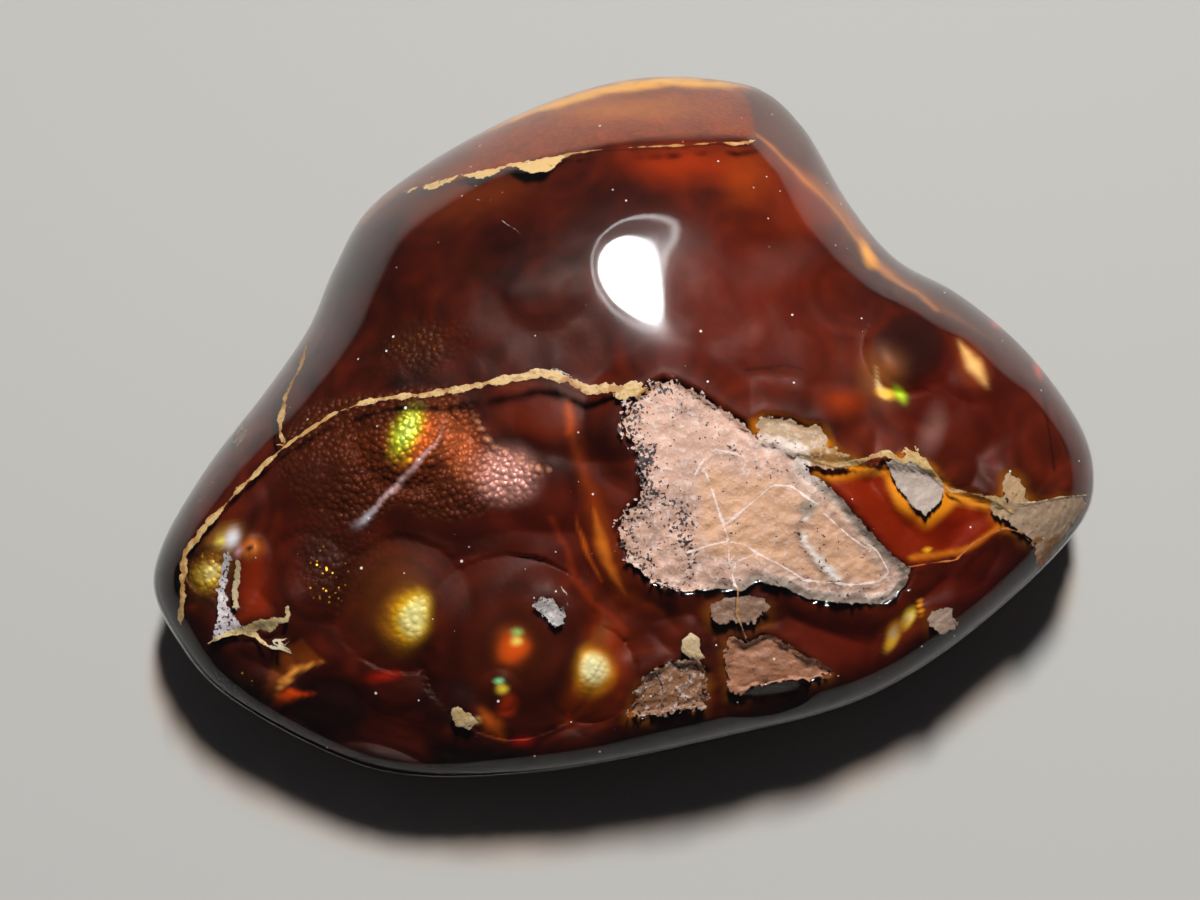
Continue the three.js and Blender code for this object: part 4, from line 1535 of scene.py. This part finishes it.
@dataclass(frozen=True)
class FireFinish:
    """The fire layer: pebbly brown agate with metallic colour where it flashes and gold grains."""

    grain_size: float = 0.3
    grain_depth: float = 0.15
    cloud_size: float = 1.6
    lump_size: float = 0.6
    gold_size: float = 0.15
    roughness: float = 0.42
    glitter: float = 0.35
    least_glitter: float = 0.1
    gold_glitter: float = 0.7
    shine: float = 0.06
    gold: str = "#F0B438"

    def make(self) -> bpy.types.Material:
        """Makes the finish.

        Returns:
            Its material.
        """
        graph = Graph("fire_layer")
        pebble, fire, gold = (graph.given(name) for name in ("pebble", "fire", "gold"))
        cloud = graph.noise(self.cloud_size, 3)
        lump = graph.noise(self.lump_size, 2, 2.0)
        away = graph.cells(self.grain_size)[0]
        # Where pebbles show, their crowns turn lighter and the hollows between them darker: painted glints
        # and painted shade on the pebbles; the same crowns feed the bump that gives them relief.
        crown = (graph.step(away, 0.8, 0.1) + lump * 1.4) * 0.6
        shade = graph.blend(pebble, cloud * 0.5 + 0.75, crown * 0.75 + cloud * 0.7)
        grey = graph.add("ShaderNodeCombineColor", Red=shade, Green=shade, Blue=shade).outputs[0]
        colour = graph.tint(1.0, graph.given("tint", "Color"), grey, Mixing.DEEPEN)
        near, picked, _ = graph.cells(self.gold_size)
        shown = graph.step(near, 0.42, 0.3) * graph.step(picked, 0.86, 0.88) * graph.step(gold, 0.1, 0.5)
        glitter = fire * (pebble * self.glitter + self.least_glitter)
        shader = graph.add(
            "ShaderNodeBsdfPrincipled",
            Base_Color=graph.tint(shown, colour, self.gold),
            Metallic=graph.larger(glitter, shown * self.gold_glitter),
            Roughness=self.roughness,
            Normal=graph.bump(crown, self.grain_depth, pebble * 0.9 + 0.01),
            Specular_IOR_Level=self.shine,
        )
        return graph.finish(shader)


@dataclass(frozen=True)
class PolishFinish:
    """The polished chalcedony, with rock patches, cream seams, dust and the dull rind of the underside."""

    index: float = 1.54
    polish: float = 0.045
    smear: float = 0.06
    smear_size: float = 5.0
    rock_roughness: float = 0.62
    fine_size: float = 0.28
    coarse_size: float = 0.8
    blotch_size: float = 2.4
    speck_size: float = 0.16
    dust_size: float = 0.34
    relief: float = 0.12
    relief_strength: float = 0.55
    absorbed: str = "#F4B468"
    absorption: float = 170.0
    rind: str = "#3A2014"
    rind_pale: str = "#6A4A34"
    # Colour of the painted shadow along the lower side of the seams.
    gap: str = "#1A0805"
    pale_grit: str = "#F2E2DA"
    brown_grit: str = "#8A6A60"
    dark_grit: str = "#332429"
    cream: str = "#EACB8C"
    rust: str = "#94602C"
    shade: str = "#EAE9E8"
    dust: str = "#D8D0CC"

    def make(self) -> bpy.types.Material:
        """Makes the finish.

        Returns:
            Its material.
        """
        graph = Graph("polished_chalcedony")
        fine = graph.noise(self.fine_size, 2)
        coarse = graph.noise(self.coarse_size, 4, 3.0)
        rock, rock_colour = self._rock(graph, fine, coarse)
        seam, seam_colour = self._seam(graph, fine, coarse)
        rind = graph.step(graph.given("under") + coarse * 1.6, 1.9, 2.2)
        blotches = graph.step(graph.noise(self.blotch_size, 3, 9.0), 0.35, 0.7)
        specks = self._dust(graph)
        colour = graph.tint(graph.step(rock, 0.0, 0.3), "#FFFFFF", rock_colour)
        # Painted shadow: a dark line along the lower side of each raised seam.
        colour = graph.tint(self._seam_shadow_mask(graph, fine), colour, self.gap)
        colour = graph.tint(graph.step(seam, 0.0, 0.3), colour, seam_colour)
        rind_colour = graph.tint(blotches, self.rind, self.rind_pale)
        colour = graph.tint(graph.step(rind, 0.0, 0.1), colour, rind_colour)
        solid = graph.larger(graph.larger(rock, seam), graph.larger(rind, specks))
        smears = graph.step(graph.noise(self.smear_size, 1, 5.0), 0.45, 0.75) * self.smear
        shader = graph.add(
            "ShaderNodeBsdfPrincipled",
            Base_Color=graph.tint(specks, colour, self.dust),
            Roughness=graph.blend(solid, smears + self.polish, self.rock_roughness),
            IOR=self.index,
            Transmission_Weight=1.0 - solid,
            Normal=graph.bump(fine + coarse * 0.6, self.relief, solid * self.relief_strength),
        )
        clear = graph.add("ShaderNodeBsdfTransparent")
        shadow = Value(graph, graph.add("ShaderNodeLightPath").outputs["Is Shadow Ray"])
        mix = graph.add("ShaderNodeMixShader")
        graph.fill(mix, {0: shadow * (1.0 - solid), 1: shader.outputs[0], 2: clear.outputs[0]})
        tint = (*linear(self.absorbed), 1)
        depth = graph.add("ShaderNodeVolumeAbsorption", Color=tint, Density=self.absorption)
        return graph.finish(mix, depth)

    def _rock(self, graph: Graph, fine: Value, coarse: Value) -> tuple[Value, Value]:
        """Finds the rock.

        Args:
            graph: the finish's node graph.
            fine: its fine noise.
            coarse: its coarse noise.

        Returns:
            Where rock shows, and its colour.
        """
        edge = ((fine - 0.5) * 3.2 + (coarse - 0.5) * 2.2) * graph.given("ragged")
        mask = graph.step(graph.given("rock") + edge, -0.03, 0.03)
        grit = graph.given("granular") * 0.45
        colour = graph.given("rock_tint", "Color")
        colour = graph.tint(graph.step(fine, 0.52, 0.68) * grit, colour, self.pale_grit)
        colour = graph.tint(graph.step(coarse, 0.56, 0.66) * grit, colour, self.brown_grit)
        speck = graph.noise(self.speck_size, 2, 7.0) + coarse * 0.5
        dark = graph.step(speck + graph.given("dark") * 0.32, 0.95, 1.01)
        colour = graph.tint(dark, colour, self.dark_grit)
        return mask, graph.tint(1.0, colour, self.shade, Mixing.DEEPEN)

    def _seam(self, graph: Graph, fine: Value, coarse: Value) -> tuple[Value, Value]:
        """Finds the cream seams.

        Args:
            graph: the finish's node graph.
            fine: its fine noise.
            coarse: its coarse noise.

        Returns:
            Where a seam shows, and its colour.
        """
        half = graph.given("half")
        inside = half - graph.math("ABSOLUTE", graph.given("side"))
        ragged = (fine - 0.5) * (half + 0.05) + (coarse - 0.5) * (half * 3.0 + 0.06)
        close = graph.step(graph.given("near") - half, 0.22, 0.12)
        mask = graph.step(inside + ragged, 0.015, 0.05) * close
        wide = graph.step(half, 0.08, 0.11)
        cream = graph.step(coarse, 0.4, 0.56) * (wide * 0.6)
        colour = graph.tint(cream, graph.given("seam_tint", "Color"), self.cream)
        colour = graph.tint(graph.step(fine, 0.55, 0.66) * (wide * 0.5), colour, self.rust)
        return mask, graph.tint(1.0, colour, self.shade, Mixing.DEEPEN)

    def _seam_shadow_mask(self, graph: Graph, fine: Value) -> Value:
        """Finds the painted shadow along the lower side of a seam: a dark line.

        Args:
            graph: the finish's node graph.
            fine: its fine noise.

        Returns:
            Where the painted shadow shows.
        """
        half = graph.given("half")
        below = graph.given("side") * -1.0 - half + (fine - 0.5) * 0.25
        close = graph.step(graph.given("near") - half, 0.3, 0.2)
        return graph.step(below, -0.02, 0.02) * graph.step(below, 0.12, 0.07) * close * graph.given("gap")

    def _dust(self, graph: Graph) -> Value:
        """Finds the specks of dust on the polish.

        Args:
            graph: the finish's node graph.

        Returns:
            Where they lie.
        """
        away, chosen, size = graph.cells(self.dust_size)
        inside = size * size * 0.2 + 0.03 - away
        return graph.step(inside, 0.0, 0.03) * graph.step(chosen + graph.given("dusty"), 0.945, 0.955)


def make_piece(
    name: str, places: Array, faces: Array, values: dict[str, Array], finish: bpy.types.Material
) -> bpy.types.Object:
    """Makes one piece of the stone.

    Args:
        name: the piece's name.
        places: its corners in millimetres.
        faces: its triangles.
        values: a number or colour for every corner, by name.
        finish: its material.

    Returns:
        The piece, which rides with the stone's body.
    """
    mesh = bpy.data.meshes.new(name)
    mesh.from_pydata((places * MM).tolist(), [], faces.tolist())
    mesh.shade_smooth()
    for key, value in values.items():
        if value.ndim == 1:
            kept = mesh.attributes.new(key, "FLOAT", "POINT")
            kept.data.foreach_set("value", value.astype(np.float32))
        else:
            kept = mesh.attributes.new(key, "FLOAT_COLOR", "POINT")
            rgba = np.concatenate([value, np.ones((len(value), 1))], axis=1)
            kept.data.foreach_set("color", rgba.astype(np.float32).ravel())
    mesh.materials.append(finish)
    piece = bpy.data.objects.new(name, mesh)
    bpy.context.scene.collection.objects.link(piece)
    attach(piece, "root")
    LOG.info("%s: %d triangles", name, len(faces))
    return piece


@dataclass(frozen=True)
class PolishedSkin:
    """The outer surface: polish, sunk rock patches, raised seams, ledges and the flat resting face."""

    form: StoneForm
    divisions: int
    finish: PolishFinish = field(default_factory=PolishFinish)
    grain_height: float = 0.11
    sunk_depth: float = 0.1
    wall_width: float = 0.08
    pink: str = "#D4A892"
    peach: str = "#D2A07C"
    white_rim: str = "#E8D8CA"
    brown_rim: str = "#705C4C"
    inner_rim: str = "#A08070"
    crystal: str = "#F0E6DC"
    crystal_shade: str = "#6A5648"
    crystal_halves: tuple[float, ...] = (0.24, 0.2, 0.3, 0.2, 0.16)
    lens: str = "#9A8672"
    hair: str = "#EED4C8"
    hair_half: float = 0.065
    dustiness: float = 0.35

    def rock(self, net: Net) -> dict[str, Array]:
        """Finds the rock patches.

        Args:
            net: the skin's net.

        Returns:
            Depth taken out, and the values that the finish reads, by name.
        """
        count = len(net.u)
        depth, inside, tint = np.zeros(count), np.full(count, -1.0), np.zeros((count, 3))
        wall, granular, ragged = np.zeros(count), np.zeros(count), np.full(count, 0.1)
        wander = Grain(21).rough(net.flat, 0.7)
        fine = Grain(22).rough(net.flat, 0.45)
        for patch in PATCHES:
            edge = ring_depth(patch.ring, net.u, net.v)
            here = edge > inside
            inside = np.where(here, edge, inside)
            tint[here] = linear(patch.colour)
            wall = np.where(here, self.wall_width * (patch.depth > self.sunk_depth), wall)
            granular = np.where(here, patch.granular, granular)
            ragged = np.where(here, patch.ragged, ragged)
            sunk = patch.depth + self.grain_height * patch.granular * fine
            ledge = self.form.ledge / 2
            share = smooth_step(-ledge, ledge, edge + patch.ragged * wander)
            depth = np.where(share > 0, share * sunk, depth)
        return {
            "depth": depth,
            "rock": np.where(net.crown, inside + wall, -1),
            "rock_tint": tint,
            "granular": granular,
            "ragged": ragged,
        }

    def great_patch(self, net: Net, values: dict[str, Array]) -> None:
        """Colours the parts of the great patch.

        Args:
            net: the skin's net.
            values: the values to change.
        """
        u, v = net.u, net.v
        great = ring_depth(PATCHES[0].ring, u, v)
        cloud = Grain(23).rough(net.flat, 1.4)
        smooth = smooth_step(-0.5, 0.5, ring_depth(SMOOTH_ROCK, u, v) + 0.5 * cloud)
        rim = smooth_step(0.55, 0.2, great) * smooth_step(7, 9.5, u + 0.5 * cloud)
        outer_rim = smooth_step(0.42, 0.2, great + 0.15 * cloud) * smooth_step(4.5, 6.5, u)
        outer_rim = outer_rim * smooth_step(-0.5, -2.5, v)
        inner_rim = smooth_step(0.25, 0.1, np.abs(great - 0.75)) * smooth_step(8, 10, u)
        band = strand_depth(CRYSTAL_BAND, self.crystal_halves, u, v) + 0.22 * cloud
        dark_side = strand_depth(CRYSTAL_BAND, (0.3,), u + 0.25, v + 0.1) + 0.2 * cloud
        pink = np.array(linear(self.pink)) * (1 + 0.35 * cloud[:, None])
        peach = np.array(linear(self.peach)) * (1 + 0.2 * cloud[:, None])
        mixed = pink + (peach - pink) * smooth[:, None]
        for code, share in (
            (self.white_rim, 0.8 * rim),
            (self.brown_rim, 0.9 * outer_rim),
            (self.inner_rim, 0.6 * inner_rim),
            (self.crystal_shade, 0.6 * smooth_step(0, 0.15, dark_side)),
            (self.crystal, 0.95 * smooth_step(0, 0.12, band)),
            (self.lens, oval_cover(u, v, (10.4, -2.9), (0.6, 0.6), crisp=0.5)),
        ):
            mixed = painted(mixed, code, share)
        inside = great > -0.4
        values["rock_tint"] = np.where(inside[:, None], mixed, values["rock_tint"])
        granular = values["granular"] * (1 - 0.8 * outer_rim)
        granular = np.where(inside, granular * (1 - 0.65 * smooth), granular)
        torn = 0.1 + 0.42 * smooth_step(6.5, 2, u) * smooth_step(-8, -5, v) + 0.1 * smooth_step(-3, 2, v)
        left = smooth_step(1.4, 0.0, great) * smooth_step(5, 2.5, u)
        cluster = oval_cover(u, v, (4, -4), (1.3, 2.8), 15)
        bay = oval_cover(u, v, (2, -0.8), (1.2, 1.6))
        dark = 0.14 + 0.45 * left + 0.5 * cluster + 0.35 * bay
        dark = np.clip(dark + 0.6 * smooth_step(-0.1, 0.1, dark_side) - 0.4 * smooth, 0, 1)
        values["granular"] = granular
        values["ragged"] = np.where(great > -1, torn, values["ragged"])
        values["dark"] = np.where(inside, dark, 0.35 * (granular > 0.9))

    def seams(self, net: Net) -> dict[str, Array]:
        """Finds the nearest seam of every corner.

        Args:
            net: the skin's net.

        Returns:
            Signed and plain distance, half-width, painted shadow strength, stand and colour by name.
        """
        u, v, count = net.u, net.v, len(net.u)
        best, near, side = np.full(count, -9.0), np.full(count, 9.0), np.full(count, 9.0)
        half, gap, stand, tint = np.zeros(count), np.zeros(count), np.zeros(count), np.ones((count, 3))
        hairs = tuple(
            Vein("veinlet", line, (self.hair_half,) * len(line), self.hair, 0.0, 0.0) for line in VEINLETS
        )
        for vein in VEINS + hairs:
            for a, b, wide, next_wide in zip(vein.line, vein.line[1:], vein.halves, vein.halves[1:]):
                distance, along = stretch_distance(u, v, a, b)
                width = wide + (next_wide - wide) * along
                here = width - distance > best
                left = (b[0] - a[0]) * (v - a[1]) - (b[1] - a[1]) * (u - a[0]) >= 0
                best = np.where(here, width - distance, best)
                near = np.where(here, distance, near)
                side = np.where(here, np.where(left, distance, -distance), side)
                half = np.where(here, width, half)
                gap = np.where(here, vein.gap, gap)
                stand = np.where(here, vein.stand * smooth_step(-0.1, 0.08, width - distance), stand)
                tint[here] = linear(vein.colour)
        near = np.where(net.crown, near, 9)
        return {"near": near, "side": side, "half": half, "gap": gap, "stand": stand, "seam_tint": tint}

    def build(self) -> tuple[bpy.types.Object, Array]:
        """Builds the piece.

        Returns:
            The piece, and the shift that centred it.
        """
        form = self.form
        net = FineBall(self.divisions).lay_out(form.outline)
        values = self.rock(net)
        values.update(self.seams(net))
        self.great_patch(net, values)
        rise = form.crown_rise(net.u, net.v, net.reach, values.pop("depth"))
        rise = rise + values.pop("stand") * smooth_step(0, 1, rise)
        drop = form.belly_drop(net.u, net.v, net.reach)
        places = form.stand(net, rise, drop, 0)
        shift = np.array([*(-(places.min(axis=0) + places.max(axis=0)) / 2)[:2], 0])
        dusty = [oval_cover(net.u, net.v, *place) for place in DUSTY]
        values["dusty"] = self.dustiness * np.max(dusty, axis=0)
        values["under"] = np.where(net.crown, -rise, drop)
        piece = make_piece("polished_skin", places + shift, net.faces, values, self.finish.make())
        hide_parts(NODE)
        return piece, shift


@dataclass(frozen=True)
class FireLayer:
    """The iridescent layer that shows through the clear skin, with its domes and grape-like growths."""

    form: StoneForm
    divisions: int
    inset: float = 0.982
    depth: float = 1.15
    least_depth: float = 0.22
    uneven: float = 0.3
    uneven_length: float = 4.5
    upper_lumps: float = 0.1
    lower_lumps: float = 0.4
    lump_reach: float = 0.6
    rock_depth: float = 0.3
    rock_pull: float = 0.85
    rock_cover: float = 0.5
    thin_rock: float = 0.1
    thin_rock_delay: float = 0.25
    rim_rise: float = 12.0
    rim_drop_share: float = 0.7
    rim_blend: float = 1.5
    belly_gap: float = 0.9
    floor_gap: float = 0.7
    finish: FireFinish = field(default_factory=FireFinish)
    look: FireLook = field(default_factory=FireLook)

    def depths(self, net: Net) -> Array:
        """Finds how deep the layer lies under the polish.

        Args:
            net: the layer's net.

        Returns:
            The depth at each corner.
        """
        u, v = net.u, net.v
        distance, _ = self.look.growths.at(net.flat)
        lumps = self.upper_lumps + (self.lower_lumps - self.upper_lumps) * smooth_step(4, -2, v)
        depth = self.depth + self.uneven * Grain(31).rough(net.flat, self.uneven_length)
        depth = depth - lumps * np.maximum(1 - (distance / self.lump_reach) ** 2, 0)
        domes = sum(dome.rise(u, v) for dome in DOMES)
        depth = np.maximum(np.where(domes > 0, self.depth - domes, depth), self.least_depth)
        late = [self.thin_rock_delay * (patch.depth < self.thin_rock) for patch in PATCHES]
        inside = [ring_depth(patch.ring, u, v) - delay for patch, delay in zip(PATCHES, late)]
        rock = np.max(inside, axis=0)
        depth = depth + (self.rock_depth - depth) * self.rock_pull * smooth_step(-2.2, -0.3, rock)
        return depth + self.rock_cover * smooth_step(-0.25, 0.15, rock)

    def build(self, shift: Array) -> bpy.types.Object:
        """Builds the piece.

        Args:
            shift: the shift that centred the skin.

        Returns:
            The piece.
        """
        form = self.form
        net = FineBall(self.divisions).lay_out(form.outline, self.inset)
        reach = net.reach * self.inset
        rim = self.rim_rise * np.sqrt(np.maximum(1 - net.reach * net.reach, 0))
        blend = np.maximum(np.minimum(self.rim_blend, 2 * rim), 1e-9)
        rise = soft_min(form.crown_rise(net.u, net.v, reach) - self.depths(net), rim, blend)
        drop = form.belly_drop(net.u, net.v, reach) - self.belly_gap
        drop = soft_min(drop, rim * self.rim_drop_share, blend)
        places = form.stand(net, rise, drop, self.floor_gap)
        return make_piece("fire_layer", places + shift, net.faces, self.look.paint(net), self.finish.make())


@dataclass(frozen=True)
class SoftLight:
    """An oval studio light with a bright middle and a thin dim rim, set aside from the line it lights."""

    name: str = "key"
    width: Point = (0.053, 0.138)
    power: float = 3.05
    aside: Point = (0.0125, -0.009)
    turn: float = 21
    middle: Point = (0.445, 0.566)
    middle_half: Point = (0.396, 0.341)
    middle_fall: Point = (0.8, 1.05)
    rim: float = 0.035
    rim_fall: float = 0.01
    rim_strength: float = 0.052
    gap_strength: float = 0.004

    def hang(self, spot: Vector, way: Vector, distance: float) -> bpy.types.Object:
        """Hangs the light.

        Args:
            spot: the place that mirrors it, in metres.
            way: direction from there towards the light.
            distance: how far away it hangs.

        Returns:
            The light.
        """
        facing = way.to_track_quat("Z", "Y")
        lamp = bpy.data.lights.new(self.name, "AREA")
        lamp.shape = "ELLIPSE"
        lamp.size, lamp.size_y = self.width
        lamp.energy = self.power
        self._shade(lamp)
        light = bpy.data.objects.new(self.name, lamp)
        light.location = spot + way * distance + facing @ Vector((*self.aside, 0))
        light.rotation_euler = (facing @ Quaternion((0, 0, 1), math.radians(self.turn))).to_euler()
        bpy.context.scene.collection.objects.link(light)
        return light

    def _shade(self, lamp: bpy.types.Light) -> None:
        """Gives the light its bright middle and its rim.

        Args:
            lamp: the light to shade.
        """
        lamp.use_nodes = True
        tree = lamp.node_tree
        place = tree.nodes.new("ShaderNodeNewGeometry").outputs["Parametric"]
        middle = (self.middle, self.middle_half, (*self.middle_fall, 1.0, self.gap_strength))
        inner = 1 - 2 * self.rim
        rim = ((0.5, 0.5), (0.5, 0.5), (inner - self.rim_fall, inner, 0.0, self.rim_strength))
        total = tree.nodes.new("ShaderNodeMath")
        total.operation = "MAXIMUM"
        for i, (centre, half, fall) in enumerate((middle, rim)):
            away = place
            for operation, values in (("SUBTRACT", (*centre, 0)), ("DIVIDE", (*half, 1)), ("LENGTH", None)):
                node = tree.nodes.new("ShaderNodeVectorMath")
                node.operation = operation
                tree.links.new(away, node.inputs[0])
                if values:
                    node.inputs[1].default_value = values
                away = node.outputs["Vector" if values else "Value"]
            change = tree.nodes.new("ShaderNodeMapRange")
            tree.links.new(away, change.inputs[0])
            for k, part in enumerate(fall):
                change.inputs[k + 1].default_value = part
            tree.links.new(change.outputs[0], total.inputs[i])
        tree.links.new(total.outputs[0], tree.nodes["Emission"].inputs["Strength"])


@dataclass(frozen=True)
class Studio:
    """Pale floor, soft lights and the camera at the photo's angle."""

    form: StoneForm
    floor_size: float = 1.6
    floor_colour: str = "#A4A29E"
    floor_roughness: float = 0.85
    sky: str = "#C9CDD6"
    sky_strength: float = 0.08
    highlight: Point = (1.5, 8.5)
    feel: float = 0.3
    light_distance: float = 0.3
    light: SoftLight = field(default_factory=SoftLight)
    frame_width: float = 60
    sensor: float = 36
    view_depth: Point = (0.01, 5)

    def mirror_way(self) -> tuple[Vector, Vector]:
        """Finds where the polish sends the eye's line at the highlight.

        Returns:
            The highlight's place in the row frame, in millimetres, and the direction towards the light.
        """
        form, sight = self.form, self.form.sight
        u = self.highlight[0] + np.array([0, self.feel, 0])
        v = self.highlight[1] + np.array([0, 0, self.feel])
        reach = np.hypot(u, v) / form.outline.radius(np.arctan2(v, u))
        w = form.crown_rise(u, v, reach) + form.girdle_lean * v
        corner, across, up = (Vector(place) for place in sight.to_row(u, v, w))
        normal = (across - corner).cross(up - corner).normalized()
        eye = Vector((0, 0, sight.rest_drop)) + sight.eye_direction() * sight.eye_distance
        to_eye = (eye - corner).normalized()
        return corner, 2 * normal.dot(to_eye) * normal - to_eye

    def build(self, shift: Array) -> None:
        """Sets the studio up.

        Args:
            shift: the shift that centred the stone.
        """
        self._floor()
        self._world()
        corner, way = self.mirror_way()
        spot = (corner + Vector(shift)) * MM
        LOG.info("the light lies towards %s", [round(part, 3) for part in way])
        self.light.hang(spot, way, self.light_distance)
        self._camera(Vector((*shift[:2], self.form.sight.rest_drop)) * MM)

    def _floor(self) -> None:
        """Lays the floor under the stone."""
        graph = Graph("studio_floor")
        colour = (*linear(self.floor_colour), 1)
        shader = graph.add("ShaderNodeBsdfPrincipled", Base_Color=colour, Roughness=self.floor_roughness)
        half = self.floor_size / 2
        corners = [(x * half, y * half, 0) for x, y in ((-1, -1), (1, -1), (1, 1), (-1, 1))]
        mesh = bpy.data.meshes.new("studio_floor")
        mesh.from_pydata(corners, [], [(0, 1, 2, 3)])
        mesh.materials.append(graph.finish(shader))
        floor = bpy.data.objects.new("studio_floor", mesh)
        bpy.context.scene.collection.objects.link(floor)

    def _world(self) -> None:
        """Sets the even light of the room."""
        world = bpy.data.worlds.new("studio_room")
        world.use_nodes = True
        backdrop = world.node_tree.nodes["Background"]
        backdrop.inputs["Color"].default_value = (*linear(self.sky), 1)
        backdrop.inputs["Strength"].default_value = self.sky_strength
        bpy.context.scene.world = world

    def _camera(self, target: Vector) -> None:
        """Stands the camera where the photo was taken.

        Args:
            target: what it looks at, in metres.
        """
        away = self.form.sight.eye_distance * MM
        lens = bpy.data.cameras.new("photo_camera")
        lens.sensor_width = self.sensor
        lens.lens = self.sensor * self.form.sight.eye_distance / self.frame_width
        lens.clip_start, lens.clip_end = self.view_depth
        camera = bpy.data.objects.new("photo_camera", lens)
        camera.location = target + self.form.sight.eye_direction() * away
        camera.rotation_euler = (target - camera.location).to_track_quat("-Z", "Y").to_euler()
        bpy.context.scene.collection.objects.link(camera)
        bpy.context.scene.camera = camera


@dataclass(frozen=True)
class Tracing:
    """How often light is followed from one surface to the next."""

    bounces: int = 8
    through: int = 7
    dull: int = 2

    def set(self) -> None:
        """Sets the scene's limits."""
        scene = bpy.context.scene
        scene.view_settings.view_transform = "Standard"
        scene.cycles.max_bounces = self.bounces
        scene.cycles.transmission_bounces = self.through
        scene.cycles.diffuse_bounces = self.dull
        scene.cycles.caustics_refractive = False
        scene.cycles.caustics_reflective = False


def main() -> None:
    """Builds the stone and the studio in order."""
    logging.basicConfig(level=logging.INFO, format="%(name)s %(message)s")
    form = StoneForm()
    divisions = FINE_NET
    _, shift = PolishedSkin(form, divisions).build()
    FireLayer(form, divisions).build(shift)
    Studio(form).build(shift)
    Tracing().set()


if __name__ == "__main__":
    main()
